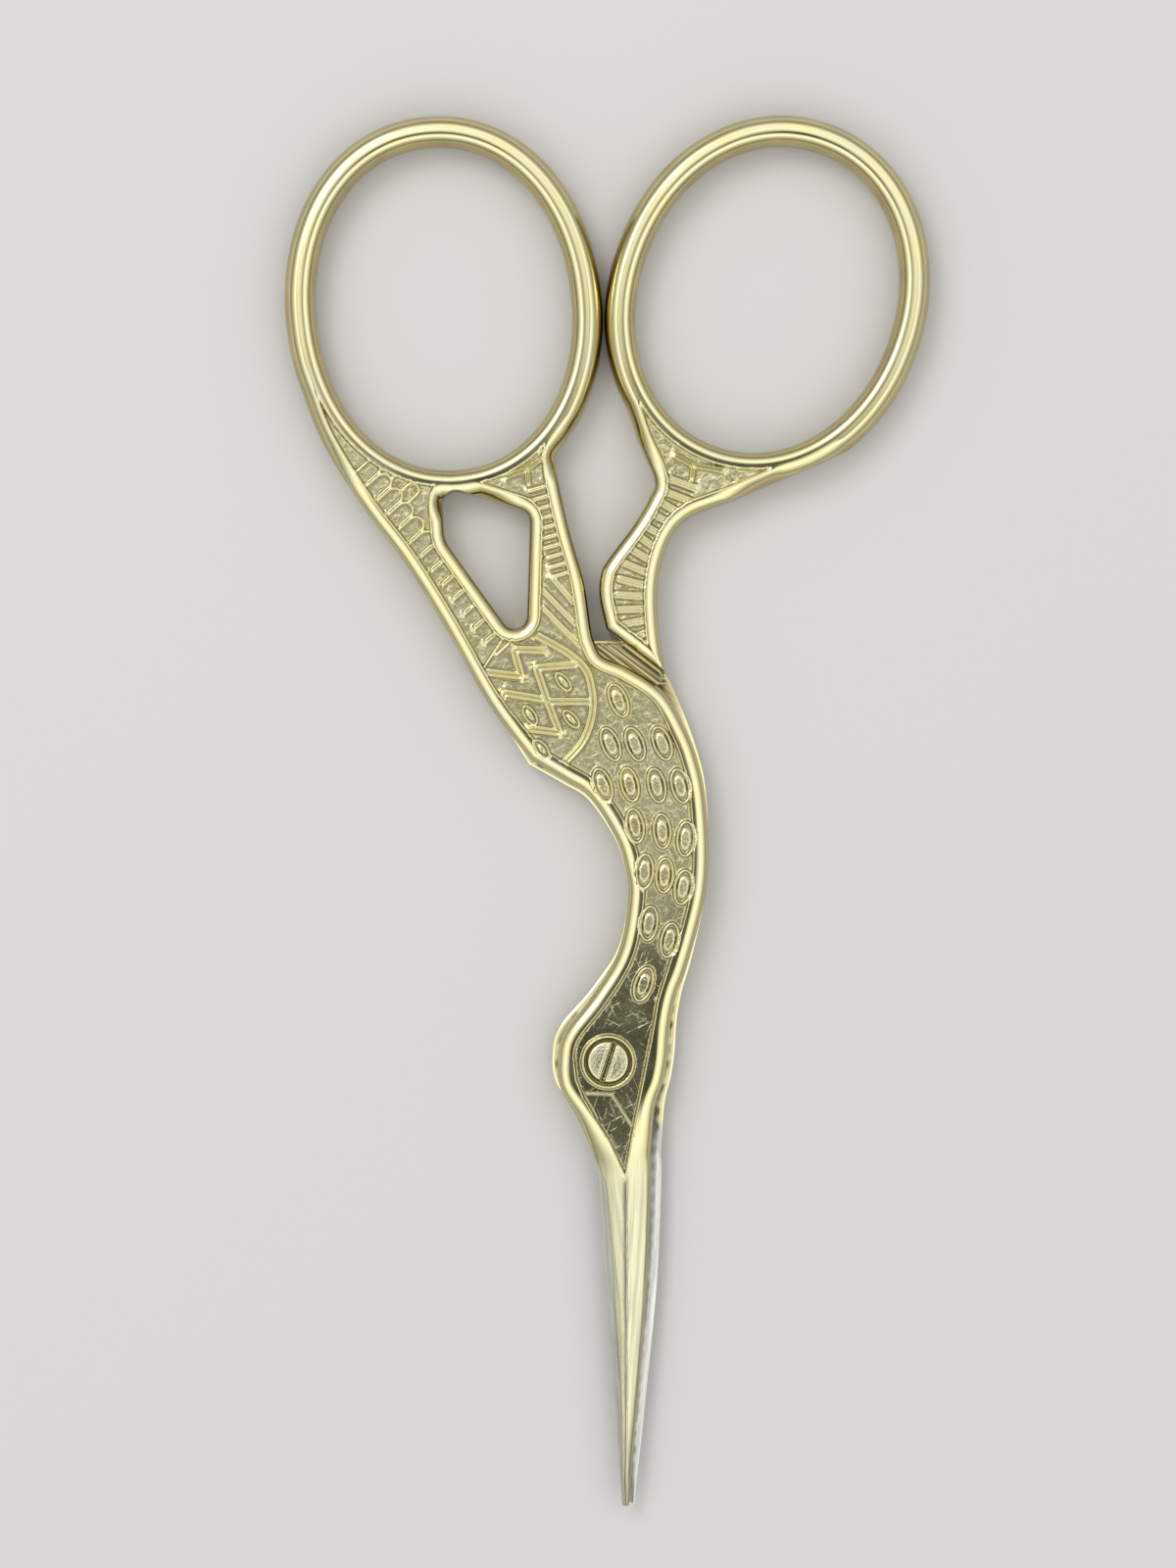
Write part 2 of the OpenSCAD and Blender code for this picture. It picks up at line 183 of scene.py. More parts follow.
# Direction square to a line at each of its points, to its left, from the points on either side.
def leftOf(line, closed=True):
    along = np.roll(line, -1, 0) - np.roll(line, 1, 0) if closed else np.gradient(line, axis=0)
    return np.column_stack([-along[:, 1], along[:, 0]]) / np.maximum(np.hypot(*along.T), 1e-9)[:, None]


# 1 on a line and 0 from a half width on.
def nearLine(away, half):
    return 1 - np.clip(np.abs(away) / half, 0, 1)


# Whether a loop runs clockwise: its signed area is negative.
def turnsRight(loop):
    a, b = loop, np.roll(loop, -1, 0)
    return (a[:, 0] * b[:, 1] - b[:, 0] * a[:, 1]).sum() < 0


# For faces that are worked all over.
def everywhere(places):
    return np.ones(len(places), bool)


# Oval bows: middle and half sizes of the outer edge, how far it leans to the left at the top, the power
# of the oval, 2 for an ellipse, and the width of the wire
leftBow = {"middle": (-10.83, 49.6), "half": (10.46, 12.72), "lean": 6, "power": 2.08, "wire": 2.06}
rightBow = {"middle": (10.5, 50.2), "half": (10.5, 12.3), "lean": -19, "power": 2.04, "wire": 2.06}
bowRound = 74               # length of a bow's outer edge, for the spacing of its points


# Outer edge of a bow: a turned oval, x and y each a power of the cosine and sine of the same angle. With
# a distance inwards it is carried along the oval's normal.
def bowLine(bow, inwards=0.0, count=720):
    t = np.linspace(0, 2 * math.pi, count, endpoint=False)
    power, lean = 2 / bow["power"], math.radians(bow["lean"])
    x = bow["half"][0] * np.sign(np.cos(t)) * np.abs(np.cos(t)) ** power
    y = bow["half"][1] * np.sign(np.sin(t)) * np.abs(np.sin(t)) ** power
    line = np.array(bow["middle"]) + np.column_stack([x * math.cos(lean) - y * math.sin(lean),
                                                      x * math.sin(lean) + y * math.cos(lean)])
    line = evenLoop(line, bowRound / count)
    return line + inwards * leftOf(line)


# Part of a bow's outer edge from one direction round to another, counted the way a clock doesn't go.
def bowArc(bow, first, last):
    line = bowLine(bow)
    direction = np.degrees(np.arctan2(*(line - np.array(bow["middle"])).T[::-1]))
    turn = (direction - first) % 360
    inside = turn <= (last - first) % 360
    return line[inside][np.argsort(turn[inside])]


# Signed distance from the middle line of a bow's wire, positive outside it: the sign is from how far the
# line lies from the bow's middle in the same direction.
def fromWire(places, bow):
    line = bowLine(bow, bow["wire"] / 2, 180)
    middle = np.array(bow["middle"])
    size = distanceTo(places, stretchesOf([line], closed=True))
    angle = np.arctan2(places[:, 1] - middle[1], places[:, 0] - middle[0])
    lineAngle = np.arctan2(line[:, 1] - middle[1], line[:, 0] - middle[0])
    order = np.argsort(lineAngle)
    reach = np.interp(angle, lineAngle[order], np.hypot(*(line[order] - middle).T), period=2 * math.pi)
    return np.where(np.hypot(*(places - middle).T) > reach, size, -size)


# Loop with rounded corners: at each corner an arc of its radius that touches both sides.
def roundedCorners(corners, count=10):
    out = []
    for i in range(len(corners)):
        before, at, after = (np.array(corners[(i + k) % len(corners)][0]) for k in (-1, 0, 1))
        radius = corners[i][1]
        u, v = (before - at) / np.hypot(*(before - at)), (after - at) / np.hypot(*(after - at))
        half = math.acos(np.clip(u @ v, -1, 1)) / 2
        centre = at + (u + v) / np.hypot(*(u + v)) * radius / math.sin(half)
        start, end = at + u * radius / math.tan(half) - centre, at + v * radius / math.tan(half) - centre
        a0 = math.atan2(start[1], start[0])
        sweep = (math.atan2(end[1], end[0]) - a0 + math.pi) % (2 * math.pi) - math.pi
        angle = a0 + sweep * np.linspace(0, 1, count)
        out.append(centre + radius * np.column_stack([np.cos(angle), np.sin(angle)]))
    return evenLoop(np.vstack(out))


upperEdges = {
    "bow": leftBow,
    "tailAngle": 204, "legAngle": 319,      # directions in which the tail and the leg leave the bow
    "tail": [(-18.92, 40.95), (-16.13, 36.49), (-13.48, 32.98), (-10.83, 28.76), (-8.19, 24.07),
             (-6.57, 21.73), (-5.1, 19.85)],
    "neckLeft": [(-5.1, 19.85), (-2.97, 18.58), (-1.23, 17.41), (0.51, 14.69), (1.16, 12.61), (1.35, 10.8),
                 (0.7, 7.3), (-0.98, 4.44), (-2.84, 2), (-3.3, 0.2), (-3.14, -1.69), (-1.97, -3.77),
                 (-0.97, -6.1)],
    "bladeLeft": [(-0.97, -6.1), (-0.7, -7.49), (-0.17, -13.99), (0.3, -20.48), (0.75, -26.52),
                  (0.93, -29.3)],
    "bladeRight": [(1.38, -29.3), (1.61, -26.52), (2.13, -20.48), (2.61, -13.99), (2.82, -7.49),
                   (2.78, -6.1)],
    "neckRight": [(2.78, -6.1), (3.08, -3.01), (3.6, -1.38), (3.9, 0.2), (4.09, 2.44), (4.49, 4.4),
                  (5.12, 6.08), (6.01, 9.16), (6.49, 11.54), (6.6, 14.2), (6.39, 17.44), (5.97, 19.55),
                  (5.21, 21.67), (3.68, 24.28), (1.32, 25.9), (-0.35, 26.65), (-0.9, 27.59), (-1.13, 28.48),
                  (-1.6, 31.6), (-2.5, 34.84), (-3.22, 38.01), (-3.4, 39.32), (-3.34, 40.11)],
    # Corners of the hole behind the leg, each with its radius
    "triangle": [((-5.4, 26.78), 0.85), ((-5.15, 36.12), 0.9), ((-11.0, 37.95), 0.9), ((-10.74, 34.3), 1.8)],
}


# Closed outline of the upper half, down the tail, round the beak, up the breast and round the bow, and
# its two holes.
def upperLoops():
    e = upperEdges
    ring = bowArc(e["bow"], e["legAngle"], e["tailAngle"])
    runs = [smoothLine([ring[-1]] + e["tail"]), smoothLine(e["neckLeft"]), smoothLine(e["bladeLeft"]),
            np.array([e["bladeLeft"][-1], e["bladeRight"][0]]), smoothLine(e["bladeRight"]),
            smoothLine(e["neckRight"] + [ring[0]]), ring]
    outer = np.vstack([evenSteps(r, edgeStep)[:-1] for r in runs])
    hole = evenLoop(bowLine(e["bow"], e["bow"]["wire"]))
    triangle = roundedCorners(e["triangle"])
    return outer, hole[::-1], triangle if turnsRight(triangle) else triangle[::-1]


lowerEdges = {
    "bow": rightBow,
    "legLeftAngle": 218, "legRightAngle": 298,   # directions in which the leg's two sides leave the bow
    "legLeft": [(1.93, 40.95), (3.05, 38.32), (2.7, 37.04), (1.63, 35.24), (-0.07, 32.93), (-0.5, 31.9),
                (-0.55, 30.52), (-0.1, 28.45)],
    "tail": [(-13.48, 32.98), (-10.83, 28.76), (-8.19, 24.07), (-6.57, 21.73), (-5.21, 19.57)],
    "neckLeft": [(-5.21, 19.57), (-3.04, 18.34), (-1.27, 17.2), (0.5, 14.57), (1.15, 12.55), (1.35, 10.8),
                 (0.65, 7.42), (-1.15, 4.65), (-3.15, 2.29), (-3.65, 0.55), (-3.41, -1.44), (-1.72, -3.64),
                 (-0.27, -6.1)],
    "bladeLeft": [(-0.27, -6.1), (-0.05, -7.49), (0.38, -13.99), (0.77, -20.48), (1.14, -26.52),
                  (1.27, -29.3)],
    "bladeRight": [(1.73, -29.3), (2.02, -26.52), (2.67, -20.48), (3.27, -13.99), (3.53, -7.49),
                   (3.48, -6.1)],
    "neckRight": [(3.48, -6.1), (3.73, -2.84), (4.14, -1.11), (4.39, 0.55), (4.54, 2.73), (4.88, 4.64),
                  (5.38, 6.28), (6.11, 9.29), (6.51, 11.61), (6.6, 14.2), (6.49, 17.36), (6.15, 19.51),
                  (5.19, 22.45), (4.11, 24.94), (3.77, 25.5)],
    "legRight": [(3.77, 25.5), (3.35, 28.3), (3.25, 31.1), (3.62, 33.22), (4.37, 34.9), (5.49, 35.93),
                 (7.14, 36.59), (8.93, 37.24)],
    "shoulder": [(-0.1, 28.45), (3.77, 25.5)],   # where the leg steps down to the plate
    "legFrom": (-1, 24),                         # the leg lies right of and above this place
    "streaksTurn": 20,                           # above here the plate's streaks run along the shoulder
    "shoulderFine": 0.02, "arcPoints": 60,       # step along it where it is cut, points of the plate's arc
    "threadHole": 0.81,
}


# Point where a line crosses the circle of the given radius about the pivot, and the stretch it lies in.
def crossing(line, radius):
    r = np.hypot(*line.T)
    i = int(np.flatnonzero((r[:-1] - radius) * (r[1:] - radius) <= 0)[0])
    return i, line[i] + (line[i + 1] - line[i]) * (radius - r[i]) / (r[i + 1] - r[i])


# Closed outline of the lower half: its leg's left side, the plate's round top edge, the tail's edge as
# far as the plate goes, then as the upper half's. With it the bow's hole.
def lowerLoops():
    e = lowerEdges
    ring = bowArc(e["bow"], e["legRightAngle"], e["legLeftAngle"])
    tail = smoothLine(e["tail"])
    i, tailStart = crossing(tail, body["stepInner"])
    shoulder = straightLine(e["shoulder"], e["shoulderFine"])
    arcStart = crossing(shoulder, body["stepInner"])[1]
    angle = np.linspace(*(math.atan2(p[1], p[0]) for p in (arcStart, tailStart)), e["arcPoints"])
    arc = body["stepInner"] * np.column_stack([np.cos(angle), np.sin(angle)])
    runs = [smoothLine([ring[-1]] + e["legLeft"]), np.vstack([shoulder[:1], arcStart]), arc,
            np.vstack([tailStart, tail[i + 1:]]), smoothLine(e["neckLeft"]), smoothLine(e["bladeLeft"]),
            np.array([e["bladeLeft"][-1], e["bladeRight"][0]]), smoothLine(e["bladeRight"]),
            smoothLine(e["neckRight"]), smoothLine(e["legRight"] + [ring[0]]), ring]
    outer = np.vstack([evenSteps(r, edgeStep)[:-1] for r in runs])
    return outer, evenLoop(bowLine(e["bow"], e["bow"]["wire"]))[::-1]


# Ornament lines inside the fields, each group with its half width, height and section. An oval is a
# raised wall round a lower island; its place ends with its turn in degrees.
bodyOvals = {
    "half": (0.66, 1.23), "wall": 0.11, "height": 0.24, "island": 0.28,
    "places": [(0.68, 23.74, 22), (0.16, 20.87, 22), (1.77, 20.87, 20), (3.55, 20.93, 20),
               (-0.35, 18.19, 20), (1.42, 18.23, 14), (3.19, 18.17, 12), (4.74, 18.13, 14),
               (1.77, 15.52, 10), (3.55, 15.16, 4), (5.1, 14.65, -4), (2.4, 12.52, -4),
               (3.71, 12.26, -4), (4.94, 11.48, -10), (2.68, 9.1, -8), (4.03, 8.0, -12), (2.32, 5.1, -18)],
}
wingOvals = {
    "half": (0.42, 0.78), "wall": 0.09, "height": 0.22, "island": 0.3,
    "places": [(-2.94, 24.97, 40), (-2.42, 22.52, 42), (-5.13, 22.77, 34), (-4.35, 20.55, 38)],
}
wingBands = {
    "half": 0.33, "height": 0.23, "section": "triple",
    "lines": [
        [(-4.2, 27.05), (-6.2, 27.1), (-5.7, 25.35), (-7.9, 25.6)],
        [(-2.2, 26.1), (-4.72, 25.9), (-3.97, 23.68), (-3.2, 21.65), (-5.2, 21.9)],
        [(-1.2, 23.68), (-3.9, 23.68)],
        [(-4.4, 23.85), (-6.8, 24.25), (-7.0, 23.7)],
    ],
    "curve": [(-4.61, 28.0), (-2.61, 26.84), (-1.45, 25.74), (-1.06, 24.39), (-1.0, 23.29), (-1.26, 22.0),
              (-1.84, 20.84), (-2.95, 19.6)],
}
plumes = {
    "half": 0.26, "height": 0.17, "section": "double",
    "lines": [[(-4.3, 31.0), (-2.1, 28.7)], [(-4.3, 29.85), (-1.75, 27.25)], [(-3.75, 31.9), (-2.3, 30.2)]],
}
forks = {
    "half": 0.24, "height": 0.2, "section": "double",
    "lines": [[(-6.74, 38.4), (-5.32, 38.95), (-3.95, 39.95)], [(-5.32, 38.95), (-5.25, 38.0)]],
}
rightForks = {
    "half": 0.24, "height": 0.2, "section": "double",
    "lines": [[(4.35, 39.85), (5.6, 39.2), (7.6, 38.85)], [(5.6, 39.2), (5.5, 38.3)]],
}
tailLines = {"half": 0.14, "height": 0.2, "section": "round", "lines": [[(-8.1, 26.0), (-6.85, 27.9)]]}
headLines = {
    "half": 0.09, "height": 0.09, "section": "round",
    "lines": [[(-1.3, -2.08), (0.23, -2.13), (1.6, -4.3)]],
}
feathers = {
    "half": 0.15, "height": 0.19, "section": "round",
    "first": (-16.2, 38.4), "last": (-7.7, 27.1), "count": 13,
    "length": 1.5, "width": 1.02, "turn": 42,
    "second": [(-14.5, 38.6), (-13.4, 37.1), (-15.9, 40.0)],   # smaller feathers beside the row, near the bow
    "secondLength": 0.75, "secondWidth": 0.85,
    "endPoints": 9,         # of a feather's round end
}
rungStep, curveStep = 0.1, 0.12     # between the points of rungs and feathers, and of the wing's curve
pathStep = 0.05                     # and of the path that rungs lie on
leftRungs = {
    "half": 0.24, "height": 0.22, "section": "round",
    "path": [(-4.6, 37.7), (-3.0, 32.0)], "count": 10, "length": 1.3,
}
rightRungs = {
    "half": 0.33, "height": 0.22, "section": "double",
    "path": [(4.9, 38.0), (4.45, 36.8), (3.8, 35.65), (3.1, 34.4), (2.3, 33.25), (1.75, 32.1), (1.45, 31.0),
             (1.4, 29.9), (1.5, 28.8), (1.8, 27.9)],
    "count": 13, "length": 1.65,
}


# Middle line of an oval's raised wall, a turned ellipse.
def ovalLine(place, half, wall, count=40):
    angle = np.linspace(0, 2 * math.pi, count, endpoint=False)
    x, y = (half[0] - wall) * np.cos(angle), (half[1] - wall) * np.sin(angle)
    turn = math.radians(place[2])
    return np.column_stack([place[0] + x * math.cos(turn) - y * math.sin(turn),
                            place[1] + x * math.sin(turn) + y * math.cos(turn)])


# Feather: two legs and a half round end, laid across the tail.
def featherLine(foot, length, width, turn):
    angle = np.linspace(-math.pi / 2, math.pi / 2, feathers["endPoints"])
    x = np.concatenate([[0], length - width / 2 + width / 2 * np.cos(angle), [0]])
    y = np.concatenate([[-width / 2], width / 2 * np.sin(angle), [width / 2]])
    t = math.radians(turn)
    return straightLine(np.column_stack([foot[0] + x * math.cos(t) - y * math.sin(t),
                                         foot[1] + x * math.sin(t) + y * math.cos(t)]), rungStep)


# Row of feathers at equal steps down the tail, and the smaller ones beside it.
def featherLines():
    f = feathers
    feet = np.linspace(f["first"], f["last"], f["count"])
    length, width = f["length"] * f["secondLength"], f["width"] * f["secondWidth"]
    lines = [featherLine(p, f["length"], f["width"], f["turn"]) for p in feet]
    return lines + [featherLine(p, length, width, f["turn"]) for p in f["second"]]


# Rungs: short lines square to a path at equal steps along it.
def rungLines(rungs):
    line = evenSteps(smoothLine(rungs["path"]), pathStep)
    at = np.linspace(0, len(line) - 2, rungs["count"]).astype(int)
    along = line[at + 1] - line[at]
    angle = np.arctan2(along[:, 1], along[:, 0]) + math.pi / 2
    step = rungs["length"] / 2 * np.column_stack([np.cos(angle), np.sin(angle)])
    return [straightLine([p - s, p + s], rungStep) for p, s in zip(line[at], step)]


# Every group of ornament lines of one face: the leg's, the tail's, or those of the body and head, which
# the front has with the tail's and the back has alone.
def ornamentOf(face):
    groups = []

    def add(values, lines):
        groups.append({**values, "lines": lines})

    if face == "leg":
        add(rightRungs, rungLines(rightRungs))
        add(rightForks, [straightLine(p) for p in rightForks["lines"]])
    if face in ("tail", "front"):
        add(feathers, featherLines())
        add(tailLines, [straightLine(p) for p in tailLines["lines"]])
        add(forks, [straightLine(p) for p in forks["lines"]])
        add(leftRungs, rungLines(leftRungs))
        add(plumes, [straightLine(p) for p in plumes["lines"]])
    if face in ("front", "back"):
        for ovals in (bodyOvals, wingOvals):
            walls = [ovalLine(p, ovals["half"], ovals["wall"]) for p in ovals["places"]]
            add({**ovals, "half": ovals["wall"], "section": "flat"}, [np.vstack([p, p[:1]]) for p in walls])
        curve = evenSteps(smoothLine(wingBands["curve"]), curveStep)
        add(wingBands, [straightLine(p) for p in wingBands["lines"]] + [curve])
        add(headLines, [straightLine(p) for p in headLines["lines"]])
    return groups


sections = {
    "split": 0.55, "splitHalf": 0.4, "splitPower": 1.5,     # groove of a double line, as shares of it
    "ribs": 0.76, "ribSwing": 0.24,                         # mean height and swing of a triple line's ribs
    "roundPower": 0.8,
}


# Height of a raised line at share t of its half width: a flat back, one split by a groove, one with three
# fine ribs side by side, or a round one.
def lineSection(t, section):
    s = sections
    back = np.clip(1 - t ** 4, 0, 1)
    if section == "double":
        return back - s["split"] * np.clip(1 - (t / s["splitHalf"]) ** 2, 0, 1) ** s["splitPower"]
    if section == "triple":
        return back * (s["ribs"] + s["ribSwing"] * np.cos(3 * math.pi * t))
    if section == "flat":
        return back
    return np.clip(1 - t ** 2, 0, 1) ** s["roundPower"]


ovalShares = {
    "far": 9.0,             # given to places near no oval, those further off than this share of its length
    "near": 1.3,
    "island": 2.5,          # the raised island stays this many of its wall's half widths inside it
    "flat": 0.82,           # share of the island that is flat
    "stipple": (0.85, 1.1), # shares of the island between which the stipple ends
    "cover": (0.94, 1.0),   # shares of the oval between which it stops keeping the rims out
}


# Share of the way from an oval's middle, 0, to its outer edge, 1, for the nearest oval, and more than 1
# where none is near.
def ovalShare(places, ovals):
    out = np.full(len(places), ovalShares["far"])
    reach = ovalShares["near"] * ovals["half"][1]
    for x, y, turn in ovals["places"]:
        near = np.flatnonzero(np.hypot(places[:, 0] - x, places[:, 1] - y) < reach)
        q, t = places[near] - (x, y), math.radians(turn)
        across = (q[:, 0] * math.cos(t) + q[:, 1] * math.sin(t)) / ovals["half"][0]
        along = (-q[:, 0] * math.sin(t) + q[:, 1] * math.cos(t)) / ovals["half"][1]
        out[near] = np.minimum(out[near], np.hypot(across, along))
    return out


fieldGround = {
    "height": 0.012, "headHeight": 0.3,     # in the head it is this share of its height
    "rise": (5, 14),                        # where it comes up to the full height
    "waves": 14, "turn": 2.39996,           # each wave runs a golden angle from the last one
    "shortest": 0.25, "longer": 0.055,
    "shift": 1.7,                           # how far each wave starts from the last one
    "bend": 1.3, "bendWave": 1.9,           # swing and pace of the sine that bends them
}


# Uneven ground of a cast field: a sum of sine waves in fixed directions, each longer than the last and
# bent a little by another sine along the height.
def castGround(places):
    g = fieldGround
    x, y = places.T
    out = np.zeros(len(places))
    for k in range(g["waves"]):
        angle, length = g["turn"] * k, g["shortest"] + g["longer"] * k
        wave = (x * math.cos(angle) + y * math.sin(angle)) / length
        out += np.sin(2 * math.pi * wave + g["shift"] * k + g["bend"] * np.sin(y * g["bendWave"] + k))
    return g["height"] * mix(g["headHeight"], 1, ease(y, *g["rise"])) * out / 3


# How height and place turn into finish: the tarnish of the fields, and the painted shade in crevices, on
# walls and by the shoulder
tarnishAndShade = {
    "clean": 0.16, "least": 0.15,           # ornament this high is polished, but for the least share of dirt
    "footAway": 0.02, "footHalf": 0.07,     # painted shade line at the foot of ornament: its distance and half width
    "footBelow": 0.1,                       # it shows only lower than this
    "gapHalf": 0.12,                        # half width of the painted shade line round an oval's island, as a share
    "border": 0.7,                          # strength of the painted shade line round a field
    "fieldWalls": 0.85,                     # share by which walls inside a field take less painted shade
    "stain": 0.75, "shoulderShadeFrom": (22, 24),   # painted reflection and shade on the inner faces by the shoulder: its strength, and where it comes in
    "stainRough": 0.1,                      # share of it that is stippled
    "innerBare": (-2.5, -1.5),              # places short of the heel between which inner faces turn bare
    "steepFrom": (0.12, 0.6),               # steepness from which places take painted shade, and where they take it fully
    "shoulderDark": 0.8,                    # strength of the painted shade in the grooves beside the shoulder
}


# Height of the ornament over the field, where the stippled middles of the ovals lie, the places that
# ovals cover, and the painted shade at the foot of every line and round every oval's island.
def ornamentHeight(places, groups, ovalSets):
    out = castGround(places)
    stipple, cover, foot = (np.zeros(len(places)) for k in range(3))
    for group in groups:
        away = distanceTo(places, stretchesOf(group["lines"]))
        t = away / group["half"]
        rise = group["height"] * lineSection(np.minimum(t, 1), group["section"])
        out = np.maximum(out, np.where(t < 1, rise, -1))
        foot = np.maximum(foot, nearLine(away - group["half"] - tarnishAndShade["footAway"], tarnishAndShade["footHalf"]))
    for ovals in ovalSets:
        share = ovalShare(places, ovals)
        wall = ovals["wall"] / ovals["half"][0]
        island = 1 - ovalShares["island"] * wall
        rise = 1 - ease(share, ovalShares["flat"] * island, island)
        out = np.maximum(out, ovals["island"] * ovals["height"] * rise)
        foot = np.maximum(foot, nearLine(share - (island + 1 - 2 * wall) / 2, tarnishAndShade["gapHalf"]))
        stipple = np.maximum(stipple, 1 - ease(share, *(k * island for k in ovalShares["stipple"])))
        cover = np.maximum(cover, 1 - ease(share, *ovalShares["cover"]))
    return out, stipple, cover, foot * (out < tarnishAndShade["footBelow"])


beak = {
    "start": -1.2,          # the head's rims begin to flatten here
    "full": -7.5,           # and have become the blade's two slopes here
    "heel": -6.1,
    "point": -29.3,
    "pointHeight": 0.5,
    "leastWidth": 0.05,
    "cutDrop": 0.58,        # drop of the slope to the cutting edge, as a share of the height, and of the
    "spineDrop": 0.4,       # one to the spine
    "hollow": 1.25,         # power of the slopes
    "ground": 0.5,          # width of the ground edge
    "groundShare": 0.26,    # but no more than this share of the blade's
    "groundStart": 2.4,     # length over which it comes in
    "land": 0.16,           # height of the blade's side under it
    "spineRound": 0.3,      # width and share of the height of the spine's rounding
    "spineShare": 0.4,
    "groove": 0.14,         # half width and depth of the groove that runs down the ridge
    "grooveDepth": 0.11,
    # Inner crests of the two rims, from the left one down to where they meet and up the right one
    "upperCrest": [(-6.0, 6.0), (-2.6, 1.4), (-2.3, 0.3), (-2.12, -1.2), (-1.45, -2.9), (0.06, -5.2),
                   (1.12, -7.5), (1.6, -4.8), (2.25, -1.6), (2.85, 1.4), (3.3, 4.0), (4.4, 7.5), (6.9, 14.0)],
    "lowerCrest": [(-6.3, 6.2), (-2.9, 1.5), (-2.62, 0.5), (-2.4, -1.1), (-1.55, -2.9), (0.3, -5.2),
                   (1.45, -7.5), (1.95, -4.8), (2.65, -1.6), (3.25, 1.4), (3.65, 4.0), (4.6, 7.5),
                   (7.0, 14.0)],
    "meet": 6,              # which of their points is the lowest
    "upperPoint": (1.15, -29.3), "lowerPoint": (1.5, -29.3),
    "bevel": 0.3,           # width of the bevel along the lower blade's cutting edge
    "bevelFrom": 1.5,       # which lies right of here
    "bevelLeast": 0.06,     # its width at the point, and how fast it grows from there
    "bevelGrowth": 0.03,
    "headPoints": 40,       # how many points of the neck's lines lie along the head
    "groundBefore": 0.1,    # the ground edge begins this far before the heel
    "grooveFrom": (-0.1, 0.5),              # the groove comes in this far below the crests' foot
    "bareBorder": (-0.02, 0.02), "bareFrom": (0.02, 0.1),
    "streakDrift": 0.02,    # how much streaks run out of line with the blade, to a mm along it
}


# Left and right edge of a beak at height y, from its two blade lines and the sides of the head.
def beakSides(edges, y):
    count = beak["headPoints"]
    left = np.vstack([smoothLine(edges["neckLeft"])[-count:], smoothLine(edges["bladeLeft"])])
    right = np.vstack([smoothLine(edges["neckRight"])[:count][::-1], smoothLine(edges["bladeRight"])[::-1]])
    sides = []
    for line in (left, right):
        order = np.argsort(line[:, 1])
        sides.append(np.interp(y, line[order, 1], line[order, 0]))
    return sides


# Width of the ground edge at height y: it comes in below the heel and narrows with the blade.
def groundWidth(y, width):
    comesIn = ease(beak["heel"] - y, -beak["groundBefore"], beak["groundStart"])
    return np.minimum(beak["ground"] * comesIn, beak["groundShare"] * width)


# The ridge at height y, straight from the foot of the crests to the point.
def ridgeAt(y, crest, point):
    foot = crest[beak["meet"]]
    return np.interp(y, [point[1], foot[1]], [point[0], foot[0]])


# Depth of the beak below the flat of the head. Both slopes fall from the crest, by a power a little over
# one of how far a place has come from it to the outline. Along the cutting side the ground edge falls
# straight to its land, the spine is rounded, and a fine groove runs down the crest.
def beakDepth(places, edges, crest, point, cutsLeft):
    x, y = places.T
    left, right = beakSides(edges, y)
    width = np.maximum(right - left, beak["leastWidth"])
    foot = crest[beak["meet"]]
    ridge = ridgeAt(y, crest, point)
    onCut = (x < ridge) == cutsLeft
    fromEdge = np.clip(np.where(x < ridge, x - left, right - x), 0, None)
    fromCrest = distanceTo(places, stretchesOf([np.array(crest), np.array([foot, point])]))
    across = np.maximum(fromEdge + fromCrest, 1e-6)
    along = np.clip((beak["heel"] - y) / (beak["heel"] - beak["point"]), 0, 1)
    height = mix(body["plate"], beak["pointHeight"], along)
    drop = np.where(onCut, beak["cutDrop"], beak["spineDrop"]) * height
    rise = height - drop * (1 - fromEdge / across) ** beak["hollow"]
    ground = groundWidth(y, width)
    groundRise = height - drop * (1 - np.clip(ground / across, 0, 1)) ** beak["hollow"]
    land = mix(height - drop, beak["land"], ease(beak["heel"] - y, 0, beak["groundStart"]))
    share = np.clip(fromEdge / np.maximum(ground, 1e-6), 0, 1)
    rise = np.where(onCut & (fromEdge < ground), mix(land, groundRise, share), rise)
    outside = 1 - np.clip(fromEdge / beak["spineRound"], 0, 1)
    rise -= np.where(onCut, 0, beak["spineShare"] * rise * (1 - np.sqrt(1 - outside ** 2)))
    groove = nearLine(x - ridge, beak["groove"]) * ease(foot[1] - y, *beak["grooveFrom"])
    rise -= beak["grooveDepth"] * groove
    bare = ease(ground - fromEdge, *beak["bareBorder"]) * onCut * ease(ground, *beak["bareFrom"])
    return body["plate"] - rise, bare, groove


# Depth of a bow's wire below the face: a power curve on either side of its highest line.
def wireDepth(rho, wire):
    fromTop = rho + body["wireCrest"]
    share = np.clip(np.abs(fromTop) / (wire + np.sign(fromTop) * body["wireCrest"]), 0, 1)
    level = np.clip(1 - share ** body["wireFlat"], 0, 1) ** (1 / body["wireFlat"])
    return body["thickness"] / 2 * (1 - level)


eye = {
    "bore": 0.93, "seatDepth": 0.64, "ringInner": 1.53, "ringOuter": 1.8,
    # Distances from the pivot of the rings of points, on the seat, its wall and the raised ring
    "rows": [1.1, 1.3, 1.46, 1.51, 1.53, 1.55, 1.58, 1.62, 1.665, 1.71, 1.75, 1.78, 1.82, 1.9],
    "onRing": 0.001,        # points this near the ring's inside belong to it
}


